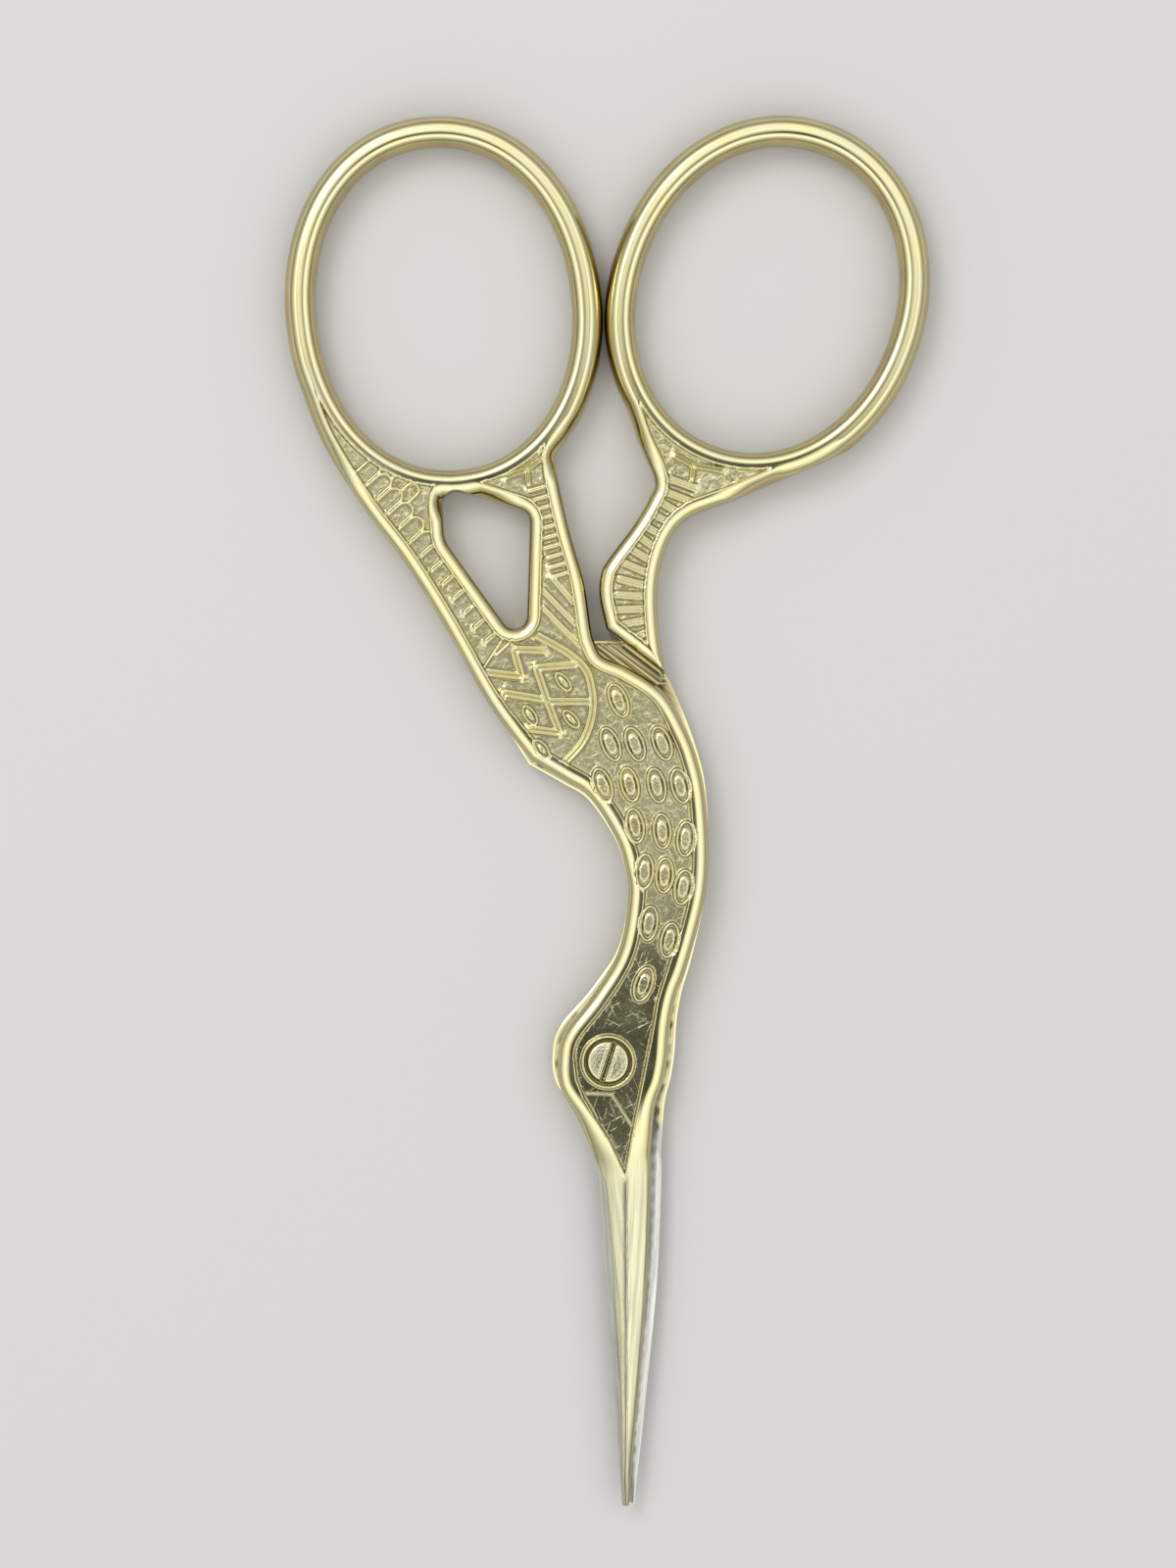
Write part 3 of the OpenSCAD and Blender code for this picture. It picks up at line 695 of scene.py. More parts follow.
# Depth below a face that has rims, a bow and sunk fields, and its finish: a rim is a round moulding along
# every edge, the bow is an oval wire, and the field lies between them with its ornament. Towards the
# beak's end the rims turn into its slopes, and the eye has a seat inside a round ring.
def faceDepth(places, edges, lines, groups, ovalSets, beakEnd=None, cutsLeft=True):
    y = places[:, 1]
    wire = edges["bow"]["wire"] / 2
    d = distanceTo(places, lines)
    rho = fromWire(places, edges["bow"])
    onBow = 1 - ease(rho, wire, wire + body["wireReach"])
    width, drop = mix(body["rimRound"], wire, onBow), mix(body["rimDrop"], body["thickness"] / 2, onBow)
    outside = 1 - np.clip(d / width, 0, 1)
    rim = drop * (1 - np.sqrt(np.clip(1 - outside ** 2, 0, 1)))
    bare, groove = np.zeros(len(places)), np.zeros(len(places))
    inner = d - mix(body["bodyRim"], body["rimWidth"], ease(y, *body["rimsMeet"]))
    if beakEnd:
        crest, point = beak[beakEnd + "Crest"], beak[beakEnd + "Point"]
        below, bare, groove = beakDepth(places, edges, crest, point, cutsLeft)
        bare = np.where(y < beak["heel"], bare, 0)
        rim = mix(rim, below, ease(-y, -beak["start"], -beak["full"]))
        fromCrest = distanceTo(places, stretchesOf([np.array(crest)]))
        far = 90
        above = [(-far, crest[0][1])] + crest + [(far, crest[-1][1]), (far, far), (-far, far)]
        inner = np.minimum(inner, np.where(insideLoops(places, [np.array(above)]), fromCrest, -fromCrest))
    raised, stipple, cover, foot = ornamentHeight(places, groups, ovalSets)
    bowDepth = wireDepth(rho, wire)
    rim = mix(bowDepth, softLess(rim, bowDepth, body["wireBlend"]), ease(rho, 0, body["wireJoin"]))
    web = body["webRim"]
    field = ease(inner, 0, body["fieldWall"]) * ease(rho, web, web + body["fieldWall"])
    field = np.maximum(field, cover)
    depth = mix(rim, body["fieldDepth"] - raised, field)
    across = mix(d, rho, onBow > 0.5)
    if beakEnd:
        r = np.hypot(*places.T)
        middle = (eye["ringOuter"] + eye["ringInner"]) / 2
        ring = body["fieldDepth"] * (1 - nearLine(r - middle, eye["ringOuter"] - middle)) ** 3
        depth = np.where(r < eye["ringOuter"], ring, depth)
        depth = np.where(r < eye["ringInner"] - eye["onRing"], eye["seatDepth"], depth)
        field = np.where(r < eye["ringOuter"], 0, field)
        across = np.where(y < beak["start"], d * (1 + beak["streakDrift"] * y), across)
    # Painted shade: a line round the field at the foot of its rims, lines at the foot of ornament and round
    # the ovals' islands, and the blade's groove
    border = nearLine(np.minimum(inner, rho - web) - body["fieldWall"], tarnishAndShade["footHalf"])
    finish = {
        "sunk": field * np.clip(1 - raised / tarnishAndShade["clean"], tarnishAndShade["least"], 1),
        "bare": bare,
        "stipple": stipple * field,
        "across": across,
        "walls": 1 - tarnishAndShade["fieldWalls"] * field,
        "stain": np.zeros(len(places)),
        "creviceShade": np.maximum(np.maximum(foot * field, tarnishAndShade["border"] * border * (1 - cover)), groove),
    }
    return np.maximum(depth, 0), finish


# Drop of the bevel round an inner face: a slope within its width of the edge, wider along the lower
# blade's cutting edge.
def plateBevel(places, lines, wide):
    x, y = places.T
    onBlade = wide & (y < beak["heel"]) & (x > beak["bevelFrom"])
    grown = beak["bevelGrowth"] * (y - beak["point"]) + beak["bevelLeast"]
    width = np.where(onBlade, np.minimum(beak["bevel"], grown), body["plateEdge"])
    return body["edgeSlope"] * np.clip(width - distanceTo(places, lines), 0, None)


# Finish of an inner face: plated on the plates, with painted reflection and shade by the shoulder, and bare
# on the blades.
def innerFinish(places, across, creviceShade):
    shoulderShaded = tarnishAndShade["stain"] * ease(places[:, 1], *tarnishAndShade["shoulderShadeFrom"])
    return {
        "sunk": np.zeros(len(places)),
        "bare": ease(beak["heel"] - places[:, 1], *tarnishAndShade["innerBare"]),
        "stipple": tarnishAndShade["stainRough"] * shoulderShaded,
        "across": across,
        "walls": np.ones(len(places)),
        "stain": shoulderShaded,
        "creviceShade": creviceShade,
    }


net = {
    "fine": 0.11, "coarse": 0.6,            # steps of the net where the face is worked and where it is flat
    "offEdge": 0.06, "offLine": 0.09,       # how far the fine net stays off the rows beside it
    "coarseOff": 0.3,
    "nearest": 0.012,                       # no point lies nearer than this to an outline
    "lineStep": 0.05, "ribStep": 0.037,     # steps of the rows beside ornament lines, and beside ribbed ones
    "edgeSlack": 0.004, "lineSlack": 0.01,  # a row's point may lie this much nearer to another edge or line
    "keyStep": 100003,                      # more than the squares in a row
    "weld": 1e-7,                           # points nearer to each other than this are one
    "margin": 0.01,                         # faces reach this far over the step between plate and full depth
    "boreAround": 72, "holeAround": 60, "eyeAround": 96, "arcAround": 720,      # points round circles
    # Rows of a beak: their distance from its point and step, how far they reach past its full form, and
    # how many lie on each side of the ridge
    "beakStart": 0.05, "beakStep": 0.06, "beakPast": 0.1, "beakRows": 4,
    # Those of its ground edge: their step, how far they stop before the heel, how far off the border
    "groundStep": 0.1, "groundHeel": 0.3, "groundOff": 0.012,
    # Those along the crests in the head: their step and distances
    "crestStep": 0.1, "crestRows": (-0.12, -0.05, 0, 0.03, 0.065, 0.1, 0.13),
    "arcTurn": 0.3,                         # degrees between the points of the step across the tail
    # Along the shoulder: the step of points, and the distance between rows and their number
    "shoulderPoints": 0.1, "shoulderOff": 0.05, "shoulderRows": 36,
    "sharp": 72, "screwSharp": 55,          # degrees above which an edge isn't smoothed
}


# Rows of points at set distances inside the loops, kept where no other edge is nearer. The outermost
# rows run along every edge, the others only where the face is worked.
def insetRows(loops, rows, worked, always=0.13):
    out = []
    for loop in loops:
        inwards = leftOf(loop)
        for inset in rows:
            p = loop + inwards * inset
            out.append(np.column_stack([p, np.full(len(p), inset)]))
    p = np.vstack(out)
    p = p[(p[:, 2] <= always) | worked(p[:, :2])]
    near = distanceTo(p[:, :2], stretchesOf(loops, closed=True))
    p = p[near > p[:, 2] - net["edgeSlack"]]
    return p[insideLoops(p[:, :2], loops), :2]


# Rows of points beside ornament lines, closer together where the section has fine ribs.
def lineRows(groups):
    out = [np.zeros((0, 2))]
    for group in groups:
        step = net["ribStep"] if group["section"] == "triple" else net["lineStep"]
        reach = round(group["half"] / step) + 1
        offsets = np.arange(-reach, reach + 1) * step
        for line in group["lines"]:
            p = (line[None] + offsets[:, None, None] * leftOf(line, closed=False)[None]).reshape(-1, 2)
            off = np.repeat(np.abs(offsets), len(line))
            near = distanceTo(p, stretchesOf(group["lines"]))
            out.append(p[near > off - net["lineSlack"]])
    return np.vstack(out)


# Triangular net of points over a box.
def netPoints(low, high, step):
    x, y = np.meshgrid(np.arange(low[0], high[0], step), np.arange(low[1], high[1], step * math.sqrt(3) / 2))
    x = x + (np.arange(x.shape[0]) % 2)[:, None] * step / 2
    return np.column_stack([x.ravel(), y.ravel()])


# One point kept in each small square, and none where a taken point lies. A square's key is one number
# made of its column and row.
def thinned(points, taken, cell=0.03):
    def keyOf(places):
        square = np.floor(places / cell).astype(np.int64)
        return square[:, 0] * net["keyStep"] + square[:, 1]

    points = points[~np.isin(keyOf(points), keyOf(taken))]
    first = np.unique(keyOf(points), return_index=True)[1]
    return points[np.sort(first)]


# Triangles between the points of the loops and those inside them. Triangles outside the loops are left
# out, and those that run clockwise are turned over.
def triangulated(loops, inner):
    fixed = np.vstack(loops)
    starts = np.cumsum([0] + [len(p) for p in loops])
    borders = [(int(s + i), int(s + (i + 1) % len(p))) for s, p in zip(starts, loops) for i in range(len(p))]
    made = delaunay_2d_cdt(np.vstack([fixed, inner]).tolist(), borders, [], 0, net["weld"], False)
    points = np.vstack([fixed, np.array(made[0])[len(fixed):]])
    triangles = np.array(made[2])
    onEdge = np.flatnonzero((triangles < len(fixed)).all(1))
    keep = np.ones(len(triangles), bool)
    keep[onEdge] = insideLoops(points[triangles[onEdge]].mean(1), loops)
    triangles = triangles[keep]
    a, b, c = (points[triangles[:, k]] for k in range(3))
    turned = (b[:, 0] - a[:, 0]) * (c[:, 1] - a[:, 1]) - (b[:, 1] - a[:, 1]) * (c[:, 0] - a[:, 0]) < 0
    triangles[turned] = triangles[turned][:, ::-1]
    return points, triangles


# Triangles of a plan: its loops, rows along its edges and its ornament lines, extra points, and a net
# between them, fine where the face is worked and coarse where it is flat.
def planTriangles(loops, rows, worked, groups, extra, fine=net["fine"]):
    edges = stretchesOf(loops, closed=True)
    beside = lineRows(groups)
    features = thinned(np.vstack([insetRows(loops, rows, worked), beside[worked(beside)]]), extra)
    features = np.vstack([features, extra])
    features = features[distanceTo(features, edges) > net["nearest"]]
    features = features[insideLoops(features, loops)]
    low, high = loops[0].min(0), loops[0].max(0)
    close = netPoints(low, high, fine)
    close = close[insideLoops(close, loops)]
    close = close[worked(close)]
    clear = distanceTo(close, edges) > rows[-1] + net["offEdge"]
    for group in groups:
        clear &= distanceTo(close, stretchesOf(group["lines"])) > group["half"] + net["offLine"]
    flat = netPoints(low, high, net["coarse"])
    flat = flat[insideLoops(flat, loops)]
    flat = flat[(distanceTo(flat, edges) > net["coarseOff"]) & ~worked(flat)]
    return triangulated(loops, np.vstack([features, close[clear], flat]))


# One attribute for each value of the finish, which the material reads.
def setFinish(mesh, finish):
    for label, value in finish.items():
        layer = mesh.attributes.new(label, "FLOAT", "POINT")
        layer.data.foreach_set("value", value.astype(np.float32))


# How steep each point of a mesh is: 0 where its normal lies within the low share of upright, 1 from the
# high one.
def steepness(mesh, low, high):
    normals = np.empty(len(mesh.vertices) * 3, np.float32)
    mesh.vertex_normals.foreach_get("vector", normals)
    return ease(1 - np.abs(normals.reshape(-1, 3)[:, 2]), low, high)


# Object made of a mesh, smooth but for edges sharper than an angle in degrees.
def addPiece(mesh, sharp):
    mesh.set_sharp_from_angle(angle=math.radians(sharp))
    piece = bpy.data.objects.new(mesh.name, mesh)
    bpy.context.scene.collection.objects.link(piece)
    print(mesh.name, len(mesh.vertices), "points", len(mesh.polygons), "triangles")
    return piece


# Closed mesh of two faces over one plan: the upper face, the lower face turned over, and a wall along
# every loop between them. A face is its points, heights, triangles and finish. How steep a place is turns
# into painted shade by the share of its walls, and is at least its painted reflection and shade by the
# shoulder.
def closedPiece(name, loops, upper, lower):
    (topPoints, topHeight, topFaces, topFinish), (lowPoints, lowHeight, lowFaces, lowFinish) = upper, lower
    edge = sum(len(p) for p in loops)
    gap = np.maximum(body["leastWall"] - (topHeight[:edge] - lowHeight[:edge]), 0) / 2
    topHeight[:edge] += gap
    lowHeight[:edge] -= gap
    count = len(topPoints)
    points = np.column_stack([np.vstack([topPoints, lowPoints]), np.concatenate([topHeight, lowHeight])]) * mm
    walls, start = [], 0
    for loop in loops:
        i = start + np.arange(len(loop))
        j = start + (np.arange(len(loop)) + 1) % len(loop)
        walls.append(np.column_stack([i + count, j + count, j]))
        walls.append(np.column_stack([i + count, j, i]))
        start += len(loop)
    faces = np.vstack([topFaces, lowFaces[:, ::-1] + count] + walls).astype(np.int32)
    mesh = bpy.data.meshes.new(name)
    mesh.vertices.add(len(points))
    mesh.vertices.foreach_set("co", points.astype(np.float32).ravel())
    mesh.loops.add(faces.size)
    mesh.loops.foreach_set("vertex_index", faces.ravel())
    mesh.polygons.add(len(faces))
    mesh.polygons.foreach_set("loop_start", np.arange(0, faces.size, 3, dtype=np.int32))
    mesh.polygons.foreach_set("use_smooth", np.ones(len(faces), bool))
    mesh.update(calc_edges=True)
    mesh.validate()
    finish = {key: np.concatenate([topFinish[key], lowFinish[key]]) for key in topFinish}
    # Painted shade on steep walls, less inside the fields, taken together with the painted reflection and
    # shade by the shoulder
    aged = steepness(mesh, *tarnishAndShade["steepFrom"]) * finish.pop("walls")
    setFinish(mesh, {**finish, "amberShade": np.maximum(aged, finish.pop("stain"))})
    return addPiece(mesh, net["sharp"])


# Rows of points along the crest of a beak, its groove and the border of its ground edge, and rings round
# the eye, so that they stay crisp.
def beakRows(edges, beakEnd, cutsLeft):
    crest, point = beak[beakEnd + "Crest"], beak[beakEnd + "Point"]
    lowest, reach = beak["point"] + net["beakStart"], net["beakRows"]
    y = np.arange(lowest, beak["full"] + net["beakPast"], net["beakStep"])
    ridge = ridgeAt(y, crest, point)
    rows = [np.column_stack([ridge + k * beak["groove"] / 3, y]) for k in range(-reach, reach + 1)]
    y = np.arange(lowest, beak["heel"] - net["groundHeel"], net["groundStep"])
    left, right = beakSides(edges, y)
    ground = groundWidth(y, right - left)
    for near in (-net["groundOff"], net["groundOff"]):
        rows.append(np.column_stack([left + ground + near if cutsLeft else right - ground - near, y]))
    for start, end in zip(crest[1:-2], crest[2:-1]):
        line = evenSteps(np.array([start, end]), net["crestStep"])[1:-1]
        way = np.array(end) - np.array(start)
        inwards = np.array([-way[1], way[0]]) / np.hypot(*way)
        rows += [line + k * inwards for k in net["crestRows"]]
    return np.vstack(rows + [circleLoop(r, net["eyeAround"]) for r in eye["rows"]])


# Whether places lie on the tail, where the upper half is full thickness, by a margin.
def onTail(places, margin=-net["margin"]):
    return (np.hypot(*places.T) > body["stepOuter"] + margin) & (places[:, 1] > 0)


# Finish of a face that is an inner plate on one part and has rims and fields on the other.
def eitherFinish(inside, inner, outer):
    return {key: np.where(inside, inner[key], outer[key]) for key in outer}


# Upper half: its front is worked all over, and its back only on the tail, beyond an arc about the pivot.
def makeUpperHalf():
    outlines = upperLoops()
    loops = [*outlines, circleLoop(eye["bore"], net["boreAround"])[::-1]]
    edgeLines = stretchesOf(outlines, closed=True)
    front = ornamentOf("front")
    extra = beakRows(upperEdges, "upper", True)
    points, faces = planTriangles(loops, rimRows, everywhere, front, extra)
    depth, finish = faceDepth(points, upperEdges, edgeLines, front, (bodyOvals, wingOvals), "upper", True)
    upper = (points, body["thickness"] - depth, faces, finish)

    back = ornamentOf("tail")
    angle = np.radians(np.arange(*body["stepSpan"], net["arcTurn"]))
    step = np.vstack([(body["stepOuter"] + k) * np.column_stack([np.cos(angle), np.sin(angle)])
                      for k in (0, body["stepWall"])])
    points, faces = planTriangles(loops, rimRows, onTail, back, step)
    inside = ~onTail(points, net["margin"])
    arc = stretchesOf([circleLoop(body["stepOuter"], net["arcAround"])], closed=True)
    lines = [np.vstack(ends) for ends in zip(edgeLines, arc)]
    depth, finish = faceDepth(points, upperEdges, lines, back, ())
    plate = body["frontSeat"] + plateBevel(points, edgeLines, False)
    plated = innerFinish(points, distanceTo(points, edgeLines), np.zeros(len(points)))
    finish = eitherFinish(inside, plated, finish)
    return closedPiece("upperHalf", loops, upper, (points, np.where(inside, plate, depth), faces, finish))


# Distance from the line of the shoulder, positive towards the leg.
def fromShoulder(places):
    s, e = (np.array(p) for p in lowerEdges["shoulder"])
    x, y = (places - s).T
    return ((e[0] - s[0]) * y - (e[1] - s[1]) * x) / np.hypot(*(e - s))


# Whether places lie on the leg, above the shoulder by a margin.
def onLeg(places, margin=-net["margin"]):
    x, y = lowerEdges["legFrom"]
    return (fromShoulder(places) > margin) & (places[:, 1] > y) & (places[:, 0] > x)


# Lower half: its back is worked all over, and its front only on the leg, above the shoulder.
def makeLowerHalf():
    outlines = lowerLoops()
    loops = [*outlines, circleLoop(lowerEdges["threadHole"], net["holeAround"])[::-1]]
    edgeLines = stretchesOf(outlines, closed=True)
    back = ornamentOf("back") + ornamentOf("leg")
    extra = beakRows(lowerEdges, "lower", False)
    points, faces = planTriangles(loops, rimRows, everywhere, back, extra)
    depth, finish = faceDepth(points, lowerEdges, edgeLines, back, (bodyOvals, wingOvals), "lower", False)
    lower = (points, depth, faces, finish)

    leg = ornamentOf("leg")
    shoulder = straightLine(lowerEdges["shoulder"], net["shoulderPoints"])
    way = shoulder[-1] - shoulder[0]
    up = np.array([-way[1], way[0]]) / np.hypot(*way)
    below = [shoulder - k * net["shoulderOff"] * up for k in range(1, net["shoulderRows"])]
    step = np.vstack([shoulder, shoulder + body["stepWall"] * up] + below)
    points, faces = planTriangles(loops, rimRows, onLeg, leg, step)
    inside = ~onLeg(points, net["margin"])
    lines = [np.vstack(ends) for ends in zip(edgeLines, stretchesOf([shoulder]))]
    depth, finish = faceDepth(points, lowerEdges, lines, leg, ())
    fromEdge, beyond = distanceTo(points, edgeLines), fromShoulder(points)
    grooves = 0.5 - 0.5 * np.cos(2 * math.pi * beyond / body["shoulderStep"])
    fadesIn = ease(beyond, -body["shoulderReach"], body["shoulderFade"] - body["shoulderReach"])
    grooves *= fadesIn * ease(fromEdge, *body["shoulderEnds"])
    plate = body["plate"] - plateBevel(points, edgeLines, True) - body["shoulderLine"] * grooves
    across = np.where(points[:, 1] > lowerEdges["streaksTurn"], beyond, fromEdge)
    # Painted shade in the grooves beside the shoulder
    plated = innerFinish(points, across, tarnishAndShade["shoulderDark"] * grooves ** 2)
    finish = eitherFinish(inside, plated, finish)
    upper = (points, np.where(inside, plate, body["thickness"] - depth), faces, finish)
    return closedPiece("lowerHalf", loops, upper, lower)


screw = {
    "head": 1.37, "headTop": 2.93, "headBase": 2.34, "dome": 0.1, "edgeRound": 0.16, "edgeBevel": 0.05,
    "slotWidth": 0.42, "slotDepth": 0.3, "slotSide": 0.09, "slotTurn": 72,
    "burr": 0.02,           # low ridge raised along the slot by the driver, its distance and half width
    "burrAway": 0.1, "burrHalf": 0.07,
    "shank": 0.9, "shankEnd": 1.45,
    "thread": 0.795, "threadDepth": 0.06, "pitch": 0.3,
    "threadStart": 0.05, "threadStop": 0.2,                 # its distances from the shank and from the end
    "end": 0.04, "endBevel": 0.08,
    "around": 120,          # points round it
    # Rows of points on its top: their step and distances from the slot's sides, those of the rings from
    # the edge, how far the rings' reach into the plan, and the step of the net between them
    "slotStep": 0.05, "slotRows": (-0.1, -0.07, -0.04, -0.015, 0.01, 0.05, 0.1, 0.16),
    "rings": (0.02, 0.05, 0.09, 0.13, 0.18, 0.25, 0.33), "rimRow": 0.01, "net": 0.07,
    "edgeBelow": 0.01,      # how far its edge lies below the slot's floor at most
    "clear": 0.1,           # a height this far over the head's base or the slot's floor is above it
    # Finish: how dirty the slot is and how much painted shade lies in it, how bare and rough the top, how
    # much painted shade the walls take, and from what steepness
    "slotDirt": 0.8, "slotShade": 0.7, "topBare": 0.35, "topRough": 0.8, "walls": 0.7,
    "wallShadeFrom": (0.3, 0.8),
}


# Height of the head's top: a low dome with a rounded edge, and a straight slot with a burr on each side.
def screwTop(points):
    w, turn = screw, math.radians(screw["slotTurn"])
    r = np.hypot(*points.T)
    dome = 1 - (r / w["head"]) ** 2
    edge = 1 - np.clip((w["head"] - r) / w["edgeRound"], 0, 1)
    across = np.abs(points[:, 1] * math.cos(turn) - points[:, 0] * math.sin(turn)) - w["slotWidth"] / 2
    height = w["headTop"] - w["dome"] * (1 - dome)
    height -= w["edgeRound"] * (1 - np.sqrt(np.clip(1 - edge ** 2, 0, 1)))
    height += w["burr"] * np.exp(-((across - w["burrAway"]) / w["burrHalf"]) ** 2) * dome
    slot = np.minimum(height, w["headTop"] - w["slotDepth"])
    return mix(slot, height, ease(across, -w["slotSide"], 0))


# Radius and height of each ring of points below the top: the head's side and underside, the shank, and
# the thread as ridges half a pitch apart.
def screwProfile():
    w = screw
    turns = np.arange(w["shankEnd"] - w["threadStart"], w["end"] + w["threadStop"], -w["pitch"] / 2)
    thread = [(w["thread"] - w["threadDepth"] * (k % 2), z) for k, z in enumerate(turns)]
    head = [(w["head"], w["headBase"] + w["edgeBevel"]), (w["head"] - w["edgeBevel"], w["headBase"])]
    shank = [(w["shank"], w["headBase"]), (w["shank"], w["shankEnd"])]
    end = [(w["thread"], w["end"] + w["endBevel"]), (w["thread"] - w["endBevel"], w["end"])]
    return head + shank + thread + end


# Screw: the top's plan is finer beside the slot and near its edge. Below it rings are carried round the
# axis and closed by a point in the middle of the end.
def makeScrew():
    w, turn, count = screw, math.radians(screw["slotTurn"]), screw["around"]
    loop = circleLoop(w["head"], count)
    t = np.arange(-w["head"], w["head"], w["slotStep"])
    rows = np.vstack([np.column_stack([t, np.full(len(t), side * (w["slotWidth"] / 2 + away))])
                      for side in (-1, 1) for away in w["slotRows"]])
    rows = rows @ np.array([[math.cos(turn), math.sin(turn)], [-math.sin(turn), math.cos(turn)]])
    rings = [circleLoop(w["head"] - k, count) for k in w["rings"]]
    points, faces = planTriangles([loop], [w["rimRow"]], everywhere, [], np.vstack([rows] + rings), w["net"])
    floor = w["headTop"] - w["slotDepth"]
    height = screwTop(points)
    height[:count] = np.minimum(height[:count], floor - w["edgeBelow"])
    profile = screwProfile()
    base = len(points)
    rings = [np.column_stack([circleLoop(r, count), np.full(count, z)]) for r, z in profile]
    points = np.vstack([np.column_stack([points, height])] + rings + [[[0, 0, w["end"]]]])
    strips, above = [], np.arange(count)
    for k in range(len(profile)):
        below = base + k * count + np.arange(count)
        strips.append(np.column_stack([below, np.roll(below, -1), np.roll(above, -1)]))
        strips.append(np.column_stack([below, np.roll(above, -1), above]))
        above = below
    strips.append(np.column_stack([np.roll(above, -1), above, np.full(count, len(points) - 1)]))
    faces = np.vstack([faces] + strips).astype(np.int32)
    mesh = bpy.data.meshes.new("pivotScrew")
    mesh.from_pydata((points * mm).tolist(), [], faces.tolist())
    mesh.polygons.foreach_set("use_smooth", np.ones(len(faces), bool))
    mesh.update()
    piece = addPiece(mesh, net["screwSharp"])
    r, z = np.hypot(*points[:, :2].T), points[:, 2]
    slotted = (z > w["headBase"] + w["clear"]) & (z < floor + w["clear"])
    onTop = (z > floor + w["clear"]) & (r < w["head"] - w["edgeRound"])
    # Painted shade in the slot and on the walls
    setFinish(mesh, {"sunk": w["slotDirt"] * slotted, "bare": w["topBare"] * onTop,
                     "stipple": w["topRough"] * onTop, "across": r,
                     "amberShade": w["walls"] * steepness(mesh, *w["wallShadeFrom"]),
                     "creviceShade": w["slotShade"] * slotted})
    return piece


# Short ways to add a node and to put a number, a colour or another node's result into its sockets.
class Wiring:
    def __init__(self, tree):
        self.nodes, self.links = tree.nodes, tree.links

    def join(self, value, socket):
        if isinstance(value, (int, float, tuple)):
            socket.default_value = value
        else:
            self.links.new(value, socket)

    # New node with its settings and its sockets' values, for one of its results
    def add(self, kind, sockets, result=0, **settings):
        node = self.nodes.new("ShaderNode" + kind)
        for key, value in settings.items():
            setattr(node, key, value)
        for key, value in sockets.items():
            self.join(value, node.inputs[key])
        return node.outputs[result]

    # Product of two or more values
    def times(self, first, *others):
        for other in others:
            first = self.add("Math", {0: first, 1: other}, operation="MULTIPLY")
        return first

    def plus(self, a, b):
        return self.add("Math", {0: a, 1: b}, operation="ADD")

    def greater(self, a, b):
        return self.add("Math", {0: a, 1: b}, operation="MAXIMUM")

    def noise(self, vector, scale, detail):
        return self.add("TexNoise", {"Vector": vector, "Scale": scale, "Detail": detail}, "Fac")

    # A value's span turned into another one, and held inside it
    def spread(self, value, low, high, toLow=0.0, toHigh=1.0):
        return self.add("MapRange", {"Value": value, "From Min": low, "From Max": high, "To Min": toLow,
                                     "To Max": toHigh}, "Result")

    # What is left of a share of 0 to 1
    def rest(self, share):
        return self.spread(share, 0.0, 1.0, 1.0, 0.0)

    # From one colour to another by a share
    def blend(self, share, a, b):
        return self.add("Mix", {0: share, 6: a, 7: b}, 2, data_type="RGBA")


plating = {
    "gold": (0.82, 0.755, 0.4, 1), "worn": (0.79, 0.745, 0.47, 1),
    # wall and crevice are painted shade colours, amber-brown on steep walls and by the shoulder and near
    # black in crevices; aged is the tarnish of the sunk fields
    "aged": (0.31, 0.3, 0.19, 1), "wall": (0.36, 0.27, 0.1, 1), "creviceShade": (0.1, 0.08, 0.04, 1),
    "silver": (0.74, 0.73, 0.67, 1), "dullSilver": (0.5, 0.49, 0.44, 1),
    "blade": (0.73, 0.7, 0.5, 1), "dullBlade": (0.5, 0.49, 0.33, 1), "bladeWear": 0.85,
    "polished": 0.13, "sunk": 0.26, "stippled": 0.3, "ground": 0.2,      # roughness
    # Heights in mm
    "streak": 0.006, "bladeStreak": 0.014, "grain": 0.013, "stipple": 0.022, "scratch": 0.008,
    # Scale of the streaks, to a mm across them and to a metre along them, and of the other noises, to a
    # metre
    "streaksAcross": 7.0, "streaksAlong": 200.0,
    "patches": 420, "grains": 6500, "dots": 5200, "scratches": 480,
    "scratchTurns": (0.5, -0.5, 1.2, 2.0), "scratchStretch": (1, 0.06, 1), "scratchEdge": (0.68, 0.72),
    # Places along Y, in metres, between which the blade's wear and the head's calm and dirt change
    "bladeFrom": (-0.009, -0.005), "calmFrom": (0.005, 0.012), "dirtFrom": (0.005, 0.013),
    # Parts of each noise's range over which a change is made
    "streakSpan": (0.35, 0.65), "bladeSpan": (0.38, 0.62), "patchSpan": (0.3, 0.7), "wornSpan": (0.35, 0.7),
    "grainSpan": (0.35, 0.65),
    # Shares in the head and beyond the neck of the grain and of dirt, then those of dirt by the grain and
    # of the painted shade on walls and in crevices by patches, and what patches add to the roughness
    "calm": (0.3, 1.0), "headDirt": (1.0, 0.65), "dirt": (0.3, 0.75), "wallShadeByPatches": (0.6, 0.85),
    "creviceShadeByPatches": (0.55, 0.85), "patchRough": (-0.02, 0.04),
}
